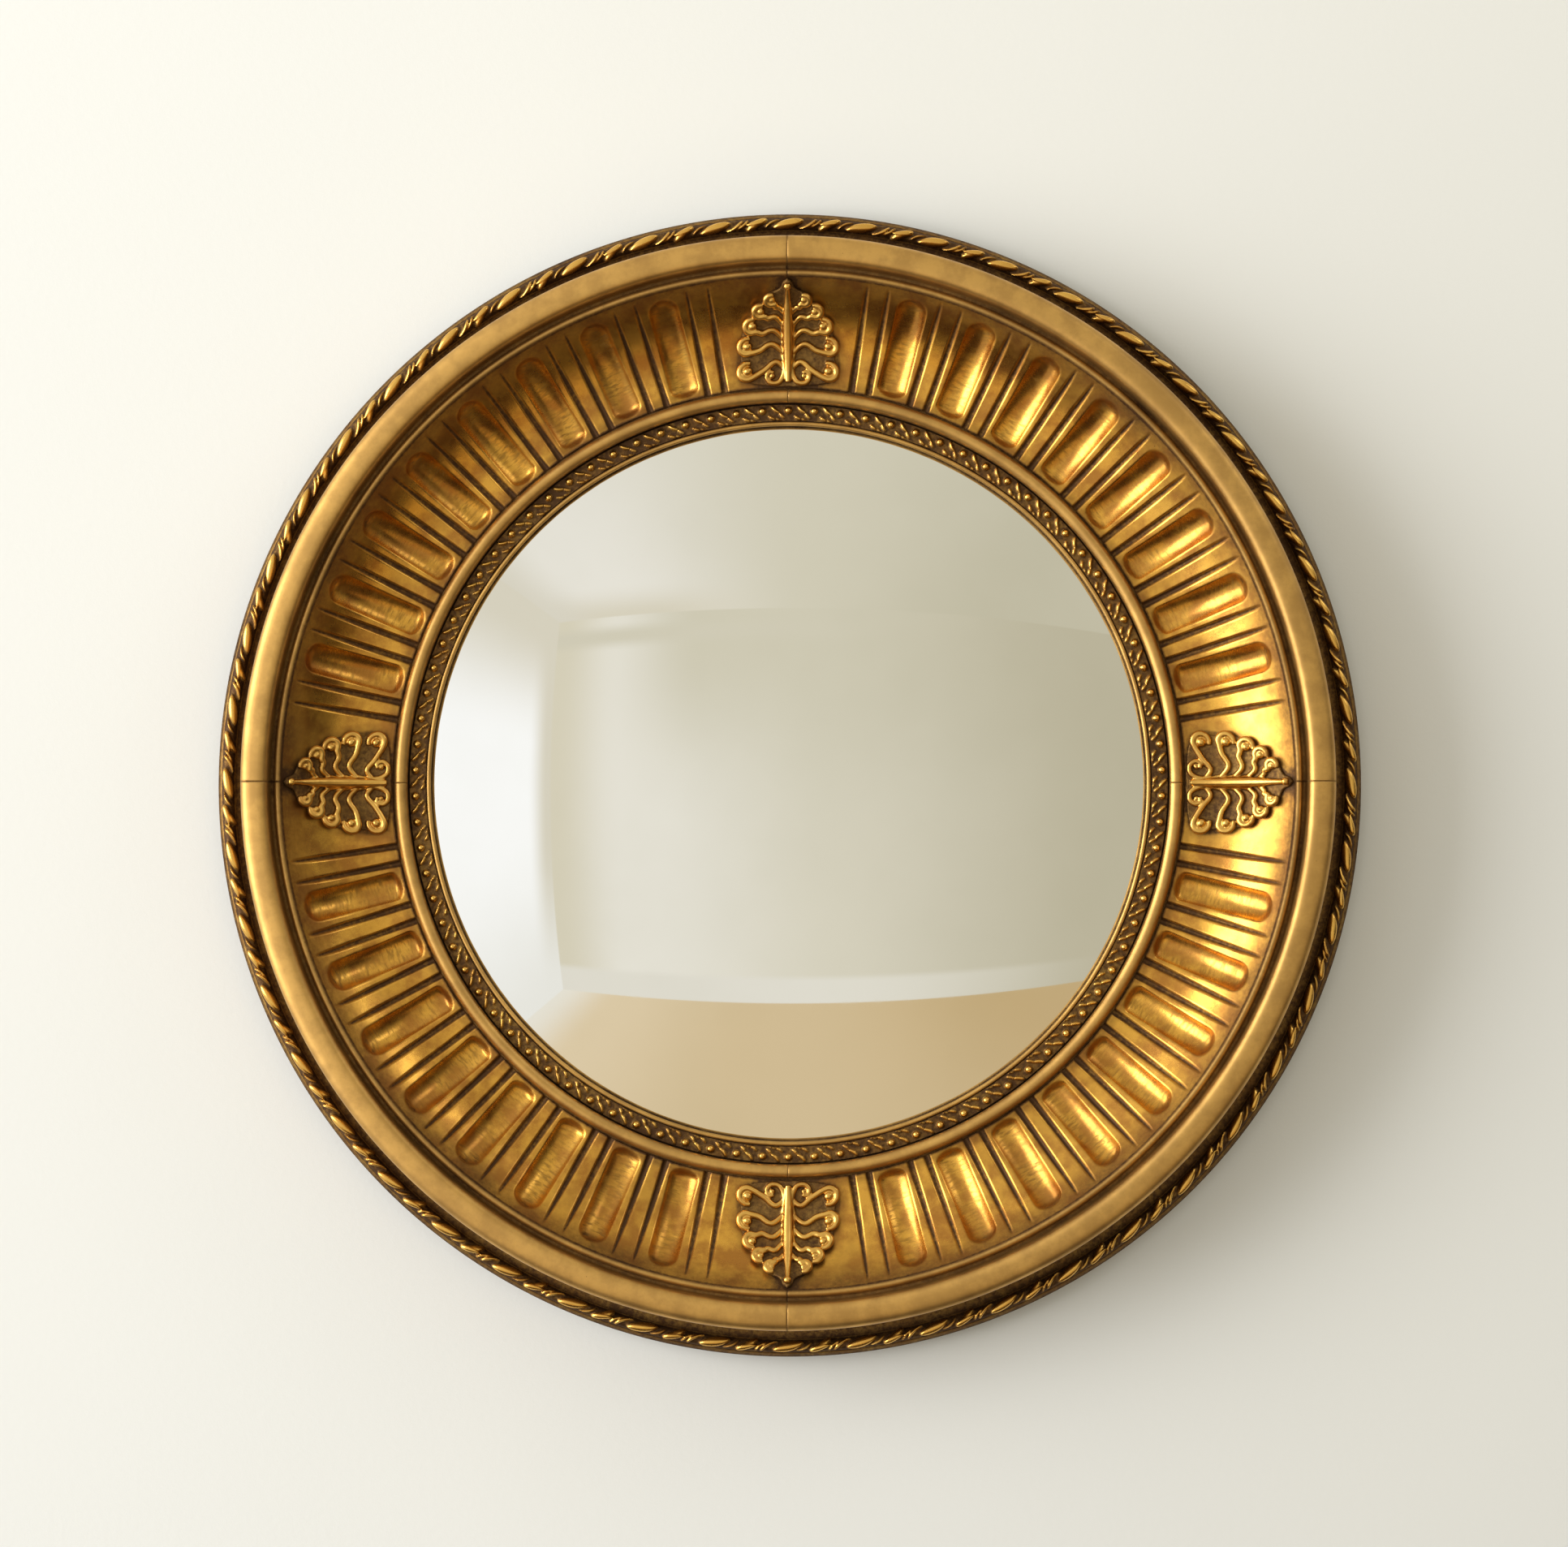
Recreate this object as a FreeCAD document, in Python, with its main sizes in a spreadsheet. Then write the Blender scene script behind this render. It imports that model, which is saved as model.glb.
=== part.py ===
import FreeCAD, Part
import math
import os
import re
import Sketcher

# A round convex mirror in a dished gilt frame. The frame is four glued quarter segments, turned,
# fluted and dressed with applied ornament. The glass is loaded from the back and held by a board
# under four turn buttons, and the mirror hangs by a ring on a screwed plate.
#
# Frame of the model: the mirror's axis is Y and its face looks towards -Y. The wall is the plane
# Y = 0, so a "height" below is a distance from the wall and is drawn at Y = -height. +Z is up.
# Lengths are millimetres and angles degrees.

SIZES = {
    # The glass is a shallow cap of a sphere with a ground edge.
    "glass_radius": 152.4,
    "glass_thickness": 3.0,
    "glass_curve": 500.0,
    "glass_cover": 2.9,
    "glass_gap": 0.7,
    "seat_gap": 0.2,
    # Layers behind the glass, counted from the wall.
    "recess_depth": 8.0,
    "board_thickness": 4.0,
    "board_gap": 0.4,
    "packing_thickness": 3.4,
    "packing_width": 5.4,
    # The sight slip is a turned ring with a lip over the glass and a shoulder behind the frame.
    "slip_wall": 5.5,
    "slip_gap": 0.4,
    "slip_shoulder_width": 3.0,
    "slip_shoulder_height": 6.0,
    "lip_width": 1.8,
    "lip_height": 1.6,
    "band_step": 1.3,
    "band_gap": 0.3,
    "band_height": 3.0,
    "band_edge": 1.1,
    # Mouldings of the frame, from the glass outwards.
    "collar_height": 6.0,
    "bead_radius": 2.7,
    "quirk_width": 1.0,
    "quirk_depth": 1.1,
    "cove_drop": 0.5,
    "cove_radius": 52.0,
    "cove_width": 43.5,
    "fillet_rise": 1.0,
    "fillet_width": 2.5,
    "channel_width": 2.5,
    "channel_depth": 2.8,
    "channel_slope": 0.5,
    "rim_radius": 5.75,
    "rim_side": 3.0,
    "side_curve": 62.0,
    "side_spread": 1.6,
    "side_step": 2.0,
    # The flat flange round the outside, which stands on the wall and carries the rope edge.
    "flange_width": 13.0,
    "flange_height": 12.0,
    "flange_chamfer": 1.5,
    "foot_width": 24.0,
    # Rope edge.
    "rope_radius": 4.3,
    "rope_rise": 3.3,
    "rope_inset": 0.5,
    "rope_base": 1.6,
    "rope_gap": 0.3,
    "rope_turns": 24,
    "rope_slant": 38.0,
    "rope_groove_radius": 1.3,
    "rope_groove_depth": 0.6,
    # Flutes and the pairs of cut lines between them, in each quarter.
    "flute_count": 8,
    "flute_tool_radius": 9.55,
    "flute_depth": 2.2,
    "flute_start": 1.6,
    "flute_end": 3.4,
    "line_radius": 1.25,
    "line_start": 0.3,
    "line_end": 2.9,
    "pair_spacing": 2.15,
    "fan_margin": 10.44,
    # Palmettes over the joints of the cove.
    "palmette_gap": 0.1,
    "palmette_pad": 1.5,
    "palmette_clearance": 0.6,
    "stem_radius": 1.8,
    "stem_foot_radius": 2.4,
    "frond_radius": 1.3,
    "ball_radius": 2.4,
    "bud_radius": 2.9,
    "pad_margin": 1.4,
    "pad_tip": 2.2,
    "pad_half_angle": 10.0,
    # Loose tongues across the four joints of the frame.
    "tongue_length": 20.0,
    "tongue_width": 18.0,
    "tongue_thickness": 6.0,
    "tongue_inset": 38.0,
    "tongue_rise": 5.0,
    "tongue_gap": 0.05,
    # Turn buttons over the edge of the backboard, each on its own screw.
    "button_thickness": 2.0,
    "button_width": 10.0,
    "button_reach": 17.0,
    "button_offset": 8.0,
    "button_gap": 0.1,
    "pivot_radius": 1.75,
    "pivot_gap": 0.06,
    "pivot_length": 12.0,
    "pivot_head_radius": 3.6,
    "pivot_head_height": 1.8,
    "pivot_head_edge": 0.7,
    "slot_half": 0.4,
    "slot_depth": 0.8,
    "slot_over": 0.5,
    # Hanging plate, its screws and its ring.
    "plate_width": 18.0,
    "plate_length": 20.0,
    "plate_thickness": 1.5,
    "plate_offset": 4.0,
    "knuckle_radius": 3.0,
    "knuckle_length": 13.0,
    "knuckle_lift": 0.3,
    "ring_wire_radius": 1.5,
    "ring_gap": 0.08,
    "ring_width": 25.0,
    "ring_corner": 3.5,
    "ring_leg": 5.0,
    "hanger_screw_radius": 1.5,
    "hanger_screw_head": 2.9,
    "hanger_screw_length": 11.0,
    "hanger_screw_spacing": 10.0,
    "hanger_screw_rows": 10.0,
    "hanger_screw_edge": 5.0,
    "screw_gap": 0.06,
    "hole_spare": 1.0,
}

# Places that follow from the sizes: radii from the axis and heights from the wall.
PLACES = {
    "lip_radius": "glass_radius - glass_cover",
    "glass_rebate": "glass_radius + glass_gap",
    "slip_face": "glass_rebate + slip_wall",
    "slip_shoulder": "slip_face + slip_shoulder_width",
    "bore": "slip_face + slip_gap",
    "rebate": "slip_shoulder + slip_gap",
    "board_radius": "rebate - board_gap",
    "board_front": "recess_depth + board_thickness",
    "glass_back": "board_front + packing_thickness",
    "glass_centre": "glass_back - sqrt((glass_curve - glass_thickness)^2 - glass_radius^2)",
    "glass_front": "glass_centre + sqrt(glass_curve^2 - glass_radius^2)",
    "glass_apex": "glass_centre + glass_curve",
    "seat": "glass_centre + sqrt(glass_curve^2 - lip_radius^2) + seat_gap",
    "lip_side": "seat + lip_height",
    "band_floor": "lip_side + lip_width / 2 - band_step",
    "band_inner": "lip_radius + lip_width + band_gap",
    "band_side": "band_floor + band_edge",
    "band_half": "(slip_face - band_gap - band_inner) / 2",
    "band_curve": "(band_half^2 + (band_height - band_edge)^2) / (2 * (band_height - band_edge))",
    "ledge": "board_front + slip_shoulder_height",
    "bead_base": "ledge + collar_height",
    "bead_outer": "bore + 2 * bead_radius",
    "cove_inner": "bead_outer + quirk_width",
    "cove_floor": "bead_base - cove_drop",
    "cove_centre": "cove_floor + cove_radius",
    "cove_outer": "cove_inner + cove_width",
    "cove_top": "cove_centre - sqrt(cove_radius^2 - cove_width^2)",
    "fillet_top": "cove_top + fillet_rise",
    "channel_inner": "cove_outer + fillet_width",
    "channel_floor": "fillet_top - channel_depth",
    "rim_inner": "channel_inner + channel_width",
    "rim_outer": "rim_inner + 2 * rim_radius",
    "side_top": "fillet_top - rim_side",
    "side_foot": "rim_outer + side_spread",
    "side_bottom": "flange_height + side_step",
    "edge": "side_foot + flange_width",
    "foot_inner": "edge - foot_width",
    "rope_centre": "edge - rope_inset - rope_radius",
    "rope_height": "flange_height + rope_rise",
    "rope_inner": "side_foot + rope_gap",
    "tongue_centre": "bore + tongue_inset",
    "tongue_floor": "recess_depth + tongue_rise",
    "button_pivot": "rebate + button_offset",
    "button_top": "recess_depth - button_gap",
    "button_back": "button_top - button_thickness",
    "pivot_head_top": "button_back - button_gap",
    "plate_bottom": "rebate + plate_offset",
    "plate_back": "recess_depth - plate_thickness",
    "plate_top": "plate_bottom + plate_length",
    "knuckle_height": "recess_depth - knuckle_lift - knuckle_radius",
    "knuckle_place": "plate_top + knuckle_radius",
    "ring_half": "ring_width / 2 - ring_wire_radius",
    "ring_bar": "ring_half - ring_corner",
    "ring_shoulder": "knuckle_place - ring_corner",
    "ring_bow": "ring_shoulder - ring_leg",
    "button_half": "button_width / 2",
    "button_end": "button_pivot - button_reach + button_half",
    "pivot_head_back": "pivot_head_top - pivot_head_height",
    "pivot_tip": "recess_depth + pivot_length - hole_spare",
    "knuckle_half": "knuckle_length / 2",
    "plate_half": "plate_width / 2",
    "screw_column": "hanger_screw_spacing / 2",
    "screw_row": "plate_bottom + hanger_screw_edge",
    "screw_cone": "plate_back + hanger_screw_head - hanger_screw_radius",
    "screw_tip": "recess_depth + hanger_screw_length - hole_spare",
}

# The four quarters in turn from the upper right, and the four joints between them from the top,
# as seen from the front.
QUARTERS = ["upper_right", "upper_left", "lower_left", "lower_right"]
JOINTS = ["top", "left", "bottom", "right"]

# Fronds of one palmette, from the tip down: half width of the curled end, the places up the cove
# of that end and of the frond's root as shares of the cove's width, and the share of the ball's
# size. The curl at the foot has no root of its own.
FRONDS = [
    (6.6, 0.887, 0.703, 0.85),
    (11.4, 0.782, 0.543, 0.9),
    (15.0, 0.625, 0.382, 1.0),
    (17.3, 0.441, 0.244, 1.1),
    (17.2, 0.225, 0.14, 1.25),
]
BASE_CURL = (7.0, 0.133, 1.0)
FROND_RISE = 3.2

FORWARD = FreeCAD.Vector(0, -1, 0)
ORIGIN = FreeCAD.Vector(0, 0, 0)

doc = FreeCAD.newDocument("convex_mirror")
sheet = doc.addObject("Spreadsheet::Sheet", "sizes")
places = doc.addObject("App::VarSet", "places")
nodes = []


def holder(match):
    word = match.group()
    if word in SIZES:
        return "sizes." + word
    return "places." + word if word in PLACES else word


def bind(text):
    """An expression with each name led by the object that holds it."""
    return re.sub(r"[a-z_]+", holder, text)


def fill_sheet():
    for row, (alias, number) in enumerate(SIZES.items(), start=1):
        sheet.set(f"A{row}", alias)
        sheet.set(f"B{row}", str(number))
        sheet.setAlias(f"B{row}", alias)
    doc.recompute()


def fill_places():
    for name in PLACES:
        places.addProperty("App::PropertyFloat", name, "Places")
    for name, text in PLACES.items():
        places.setExpression(name, bind(text))
    doc.recompute()


def at(text):
    """The number that a sum or difference of names stands for."""
    total = 0.0
    sign = 1.0
    for word in text.split():
        if word in ("+", "-"):
            sign = 1.0 if word == "+" else -1.0
        elif word in SIZES:
            total += sign * float(sheet.get(word))
        elif word in PLACES:
            total += sign * getattr(places, word)
        else:
            total += sign * float(word)
    return total


def origin_plane(body, role):
    return next(item for item in body.Origin.OriginFeatures if item.Role == role)


def new_sketch(body, name, role, offset=None):
    sketch = body.newObject("Sketcher::SketchObject", name)
    sketch.AttachmentSupport = (origin_plane(body, role), [""])
    sketch.MapMode = "FlatFace"
    if offset:
        sketch.setExpression("AttachmentOffset.Base.z", bind(offset))
    return sketch


def constrain(sketch, text, *constraint):
    """Adds a dimension to a sketch and binds it to an expression."""
    index = sketch.addConstraint(Sketcher.Constraint(*constraint, at(text)))
    sketch.setExpression(f"Constraints[{index}]", bind(text))


def pin_coordinate(sketch, item, point, axis, text):
    """Holds one coordinate of a point of a sketch, where 0 means on the other axis."""
    if text == "0":
        line = -2 if axis == "X" else -1
        sketch.addConstraint(Sketcher.Constraint("PointOnObject", item, point, line))
    else:
        constrain(sketch, text, "Distance" + axis, -1, 1, item, point)


def pin_point(sketch, item, point, across, along):
    pin_coordinate(sketch, item, point, "X", across)
    pin_coordinate(sketch, item, point, "Y", along)


def arc_centre(start, end, rule, number, turn):
    """Centre of an arc from its ends and its radius, or one coordinate of its centre."""
    middle = (start + end) * 0.5
    chord = end - start
    left = FreeCAD.Vector(-chord.y, chord.x, 0).normalize()
    if rule == "radius":
        return middle + left * turn * math.sqrt(number**2 - chord.Length**2 / 4)
    if rule == "level":
        return middle + left * ((number - middle.y) / left.y)
    return middle + left * ((number - middle.x) / left.x)


def draw_outline(sketch, steps):
    """Draws a closed outline. A step is the start of an edge as (across, along). An arc adds its
    rule, a size and its turn: the rule is radius, or level or column for its centre's place, and
    the turn is +1 to the left and -1 to the right."""
    points = [FreeCAD.Vector(at(step[0]), at(step[1]), 0) for step in steps]
    ends = []
    for index, step in enumerate(steps):
        start = points[index]
        end = points[(index + 1) % len(steps)]
        if len(step) == 2:
            item = sketch.addGeometry(Part.LineSegment(start, end))
            ends.append((item, 1, 2))
            continue
        rule, text, turn = step[2:]
        centre = arc_centre(start, end, rule, at(text), turn)
        circle = Part.Circle(centre, FreeCAD.Vector(0, 0, 1), (start - centre).Length)
        first, last = (start, end) if turn > 0 else (end, start)
        span = [math.atan2(p.y - centre.y, p.x - centre.x) for p in (first, last)]
        item = sketch.addGeometry(Part.ArcOfCircle(circle, *span))
        ends.append((item, 1, 2) if turn > 0 else (item, 2, 1))
    for index, step in enumerate(steps):
        item, start, end = ends[index]
        following = ends[(index + 1) % len(steps)]
        joint = Sketcher.Constraint("Coincident", item, end, following[0], following[1])
        sketch.addConstraint(joint)
        pin_point(sketch, item, start, step[0], step[1])
    for index, step in enumerate(steps):
        item = ends[index][0]
        if len(step) == 2:
            continue
        if step[2] == "radius":
            constrain(sketch, step[3], "Radius", item)
        else:
            pin_coordinate(sketch, item, 3, "Y" if step[2] == "level" else "X", step[3])


def draw_circle(sketch, across, along, radius):
    centre = FreeCAD.Vector(at(across), at(along), 0)
    item = sketch.addGeometry(Part.Circle(centre, FreeCAD.Vector(0, 0, 1), at(radius)))
    pin_point(sketch, item, 3, across, along)
    constrain(sketch, radius, "Radius", item)


def section(steps):
    """Turns a list of (radius, height, ...) into sketch steps, with heights drawn towards -Y."""
    drawn = []
    for step in steps:
        across, height, *arc = step
        if arc and arc[0] == "level":
            arc = ["level", minus(arc[1]), arc[2]]
        drawn.append((across, minus(height), *arc))
    return drawn


def minus(text):
    """The same sum with every sign turned round."""
    swapped = text.replace(" - ", " # ").replace(" + ", " - ").replace(" # ", " + ")
    return "0" if text == "0" else "- " + swapped


def turned(name, steps, sweep=360.0):
    """A body turned about the mirror's axis from its section."""
    body = doc.addObject("PartDesign::Body", name)
    sketch = new_sketch(body, name + "_section", "XY_Plane")
    draw_outline(sketch, section(steps))
    turn = body.newObject("PartDesign::Revolution", name + "_turning")
    turn.Profile = sketch
    turn.ReferenceAxis = (sketch, ["V_Axis"])
    turn.Angle = sweep
    turn.Reversed = True
    doc.recompute()
    return body


def feature(name, shape, turn=0.0):
    """A plain feature with a given shape, turned anticlockwise as seen from the front."""
    item = doc.addObject("Part::Feature", name)
    item.Shape = shape
    item.Placement = FreeCAD.Placement(ORIGIN, FreeCAD.Rotation(FORWARD, turn))
    return item


def keep(item, label):
    """Marks an object as one named piece of the mirror."""
    item.Label = label
    nodes.append(item)


def spread(shape, turn):
    """A copy of a shape turned about the mirror's axis."""
    copy = shape.copy()
    copy.rotate(ORIGIN, FORWARD, turn)
    return copy


def cove_angle(radius):
    """Angle round the cove's arc, from its floor, of the point at a radius from the axis."""
    return math.degrees(math.asin((radius - at("cove_inner")) / at("cove_radius")))


def cove_tool(curve, thickness, start, end, shift=0.0):
    """A round tool bent round the cove's arc at +X, from one arc angle to another."""
    tool = Part.makeTorus(curve, thickness, ORIGIN, FreeCAD.Vector(0, 0, 1), 0, 360, end - start)
    tool.rotate(ORIGIN, FreeCAD.Vector(0, 0, 1), 90.0 - end)
    tool.translate(FreeCAD.Vector(at("cove_inner") + shift, -at("cove_centre"), 0))
    return tool


def flute_tool():
    """The gouge that sinks one flute: a bent rod with round ends, mostly above the surface."""
    thickness = at("flute_tool_radius")
    curve = at("cove_radius") - thickness + at("flute_depth")
    half_width = math.sqrt(thickness**2 - (thickness - at("flute_depth")) ** 2)
    end_angle = math.degrees(half_width / at("cove_radius"))
    start = cove_angle(at("cove_inner + flute_start")) + end_angle
    end = cove_angle(at("cove_outer - flute_end")) - end_angle
    rod = cove_tool(curve, thickness, start, end)
    centre = FreeCAD.Vector(at("cove_inner"), -at("cove_centre"), 0)
    ends = []
    for angle in (math.radians(start), math.radians(end)):
        offset = FreeCAD.Vector(math.sin(angle), math.cos(angle), 0) * curve
        ends.append(Part.makeSphere(thickness, centre + offset))
    return rod.fuse(ends)


def line_tool():
    """The cutter of one line, which rises out of the wood towards the rim and leaves a point."""
    thickness = at("line_radius")
    tip = cove_angle(at("cove_outer - line_end"))
    start = cove_angle(at("cove_inner + line_start"))
    shift = -thickness / math.sin(math.radians(tip))
    return cove_tool(at("cove_radius"), thickness, start, tip + 2.5, shift)


def fan_tools():
    """Every flute and line tool of one quarter."""
    count = int(at("flute_count"))
    margin = at("fan_margin")
    pitch = (90.0 - 2 * margin) / count
    flute = flute_tool()
    line = line_tool()
    tools = [spread(flute, margin + pitch * (index + 0.5)) for index in range(count)]
    for index in range(count + 1):
        for side in (-0.5, 0.5):
            tools.append(spread(line, margin + pitch * index + side * at("pair_spacing")))
    return tools


def back_hole(radius, length, across, up):
    """A round hole tool that runs into the wood from the floor of the back recess."""
    foot = FreeCAD.Vector(across, -at("recess_depth"), up)
    return Part.makeCylinder(radius, length, foot, FORWARD)


def tongue_box(gap):
    """One loose tongue across the joint at the right, or its slot when a gap is given."""
    length = at("tongue_length") + 2 * gap
    width = at("tongue_width") + 2 * gap
    thickness = at("tongue_thickness") + 2 * gap
    corner = FreeCAD.Vector(
        at("tongue_centre") - width / 2, -at("tongue_floor") - thickness + gap, -length / 2
    )
    return Part.makeBox(width, thickness, length, corner)


def make_frame():
    """Four quarter segments of wood, one section turned through a right angle and cut."""
    wood = turned(
        "quarter_wood",
        [
            ("rebate", "recess_depth"),
            ("rebate", "ledge"),
            ("bore", "ledge"),
            ("bore", "bead_base", "level", "bead_base", 1),
            ("bead_outer", "bead_base"),
            ("cove_inner", "cove_floor - quirk_depth"),
            ("cove_inner", "cove_floor", "level", "cove_centre", -1),
            ("cove_outer", "cove_top"),
            ("cove_outer", "fillet_top"),
            ("channel_inner", "fillet_top"),
            ("channel_inner + channel_slope", "channel_floor"),
            ("rim_inner - channel_slope", "channel_floor"),
            ("rim_inner", "fillet_top", "level", "fillet_top", 1),
            ("rim_outer", "fillet_top"),
            ("rim_outer", "side_top", "radius", "side_curve", -1),
            ("side_foot", "side_bottom"),
            ("side_foot", "flange_height"),
            ("edge", "flange_height"),
            ("edge", "flange_chamfer"),
            ("edge - flange_chamfer", "0"),
            ("foot_inner", "0"),
            ("foot_inner", "recess_depth"),
        ],
        90.0,
    )
    tools = fan_tools()
    slot = tongue_box(at("tongue_gap"))
    tools += [slot, spread(slot, 90.0)]
    pivot_hole = at("pivot_radius + screw_gap")
    tools.append(spread(back_hole(pivot_hole, at("pivot_length"), at("button_pivot"), 0.0), 45.0))
    cutters = feature("quarter_cutters", Part.makeCompound(tools))
    quarter = doc.addObject("Part::Cut", "quarter")
    quarter.Base = wood
    quarter.Tool = cutters
    doc.recompute()
    for index, name in enumerate(QUARTERS):
        shape = quarter.Shape
        if name.startswith("upper"):
            shape = shape.cut([spread(hole, -90.0 * index) for hole in hanger_holes()])
        keep(feature("frame_" + name, shape, 90.0 * index), "frame_quarter_" + name)


def hanger_places():
    """Centres of the hanging plate's screws, as (across, up)."""
    low = at("plate_bottom + hanger_screw_edge")
    half = at("hanger_screw_spacing") / 2
    return [(side * half, low + row * at("hanger_screw_rows")) for row in (0, 1) for side in (-1, 1)]


def hanger_holes():
    radius = at("hanger_screw_radius + screw_gap")
    return [back_hole(radius, at("hanger_screw_length"), *place) for place in hanger_places()]


def make_tongues():
    """Hardwood tongues glued in the slots of the four joints."""
    tongues = [spread(tongue_box(0.0), 90.0 * index) for index in range(len(JOINTS))]
    keep(feature("tongues", Part.makeCompound(tongues)), "joint_tongues")


def make_rope_edges():
    """Four quarter strips with a round front, cut with slanting grooves like a laid rope."""
    strip = turned(
        "rope_strip",
        [
            ("rope_inner", "flange_height"),
            ("rope_inner", "flange_height + rope_base"),
            ("rope_centre - rope_radius", "flange_height + rope_base"),
            ("rope_centre - rope_radius", "rope_height", "level", "rope_height", 1),
            ("rope_centre + rope_radius", "rope_height"),
            ("rope_centre + rope_radius", "flange_height"),
        ],
        90.0,
    )
    wrap = at("rope_radius + rope_groove_radius - rope_groove_depth")
    groove = Part.makeTorus(wrap, at("rope_groove_radius"), ORIGIN, FreeCAD.Vector(0, 0, 1), 0, 360, 180)
    groove.rotate(ORIGIN, FreeCAD.Vector(0, 0, 1), 180.0)
    groove.rotate(ORIGIN, FORWARD, -at("rope_slant"))
    groove.translate(FreeCAD.Vector(at("rope_centre"), -at("rope_height"), 0))
    count = int(at("rope_turns"))
    grooves = [spread(groove, 90.0 * (index + 0.5) / count) for index in range(count)]
    cutters = feature("rope_cutters", Part.makeCompound(grooves))
    rope = doc.addObject("Part::Cut", "rope_quarter")
    rope.Base = strip
    rope.Tool = cutters
    doc.recompute()
    for index, name in enumerate(QUARTERS):
        keep(feature("rope_" + name, rope.Shape, 90.0 * index), "rope_edge_" + name)


def cove_point(across, along, lift):
    """A point over the cove below the top joint, lifted square to its surface."""
    radius = math.hypot(across, along)
    run = radius - at("cove_inner")
    rise = math.sqrt(at("cove_radius") ** 2 - run**2)
    share = 1.0 - lift / at("cove_radius")
    outward = at("cove_inner") + run * share
    height = at("cove_centre") - rise * share
    return FreeCAD.Vector(across / radius * outward, -height, along / radius * outward)


def cove_tube(points, thickness):
    """A round rod on the arc through three points."""
    path = Part.Wire(Part.Arc(*points).toShape())
    start = path.Edges[0]
    tangent = start.tangentAt(start.FirstParameter)
    ring = Part.Wire(Part.makeCircle(thickness, points[0], tangent))
    return path.makePipeShell([ring], True, True)


def up_cove(share):
    """The radius at a share of the cove's width."""
    return at("cove_inner") + share * at("cove_width")


def over_cove(start, end, high):
    """The layer over the top of the cove from the palmettes' underside to a height above it."""
    low = at("palmette_gap")
    corners = [cove_point(0, radius, lift) for lift in (low, high) for radius in (start, end)]
    middle = (start + end) / 2
    edges = [
        Part.Arc(corners[0], cove_point(0, middle, low), corners[1]).toShape(),
        Part.LineSegment(corners[1], corners[3]).toShape(),
        Part.Arc(corners[3], cove_point(0, middle, high), corners[2]).toShape(),
        Part.LineSegment(corners[2], corners[0]).toShape(),
    ]
    layer = Part.Face(Part.Wire(edges)).revolve(ORIGIN, FORWARD, 2 * at("pad_half_angle"))
    layer.rotate(ORIGIN, FORWARD, -at("pad_half_angle"))
    return layer


def palmette_pad():
    """The thin ground of the palmette: a sheet that follows the cove inside a lobed outline."""
    start = at("cove_inner + palmette_clearance")
    end = at("cove_outer - palmette_clearance")
    ground = over_cove(start, end, at("palmette_gap + palmette_pad"))
    margin = at("pad_margin")
    right = [(half + margin, up_cove(end_share) + margin) for half, end_share, _, _ in FRONDS]
    right = [(at("pad_tip"), end + margin)] + right + [(BASE_CURL[0] + margin, start - margin)]
    outline = right + [(-across, along) for across, along in reversed(right)]
    corners = [FreeCAD.Vector(across, 0, along) for across, along in outline]
    blank = Part.Face(Part.makePolygon(corners + corners[:1]))
    return ground.common(blank.extrude(FORWARD * at("cove_centre")))


def make_palmettes():
    """Four applied palmettes: a ribbed stem with a bud, and fronds that curl up at their ends.
    Each is cut flat against the cove that it is glued to."""
    lift = at("palmette_gap + palmette_pad")
    foot = at("cove_inner + palmette_clearance + stem_foot_radius")
    tip = at("cove_outer - palmette_clearance") - at("bud_radius")
    pieces = []
    stem = [cove_point(0, radius, lift) for radius in (foot, (foot + tip) / 2, tip)]
    pieces.append(cove_tube(stem, at("stem_radius")))
    pieces.append(Part.makeSphere(at("bud_radius"), stem[2]))
    pieces.append(Part.makeSphere(at("stem_foot_radius"), stem[0]))
    for side in (-1, 1):
        for half, end_share, root_share, size in FRONDS:
            reach = up_cove(end_share)
            root = up_cove(root_share)
            ends = [cove_point(0, root, lift), cove_point(side * half, reach, lift)]
            bend = cove_point(side * half * 0.5, (reach + root) / 2 - FROND_RISE, lift)
            pieces.append(cove_tube([ends[0], bend, ends[1]], at("frond_radius")))
            pieces.append(Part.makeSphere(at("ball_radius") * size, ends[1]))
        half, end_share, size = BASE_CURL
        curl = cove_point(side * half, up_cove(end_share), lift)
        pieces.append(Part.makeSphere(at("ball_radius") * size, curl))
    room = over_cove(at("cove_inner"), at("cove_outer"), lift + 2 * at("bud_radius"))
    palmette = palmette_pad().fuse(pieces).common(room)
    for index, name in enumerate(JOINTS):
        keep(feature("palmette_of_" + name, palmette, 90.0 * index), "palmette_" + name)


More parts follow.
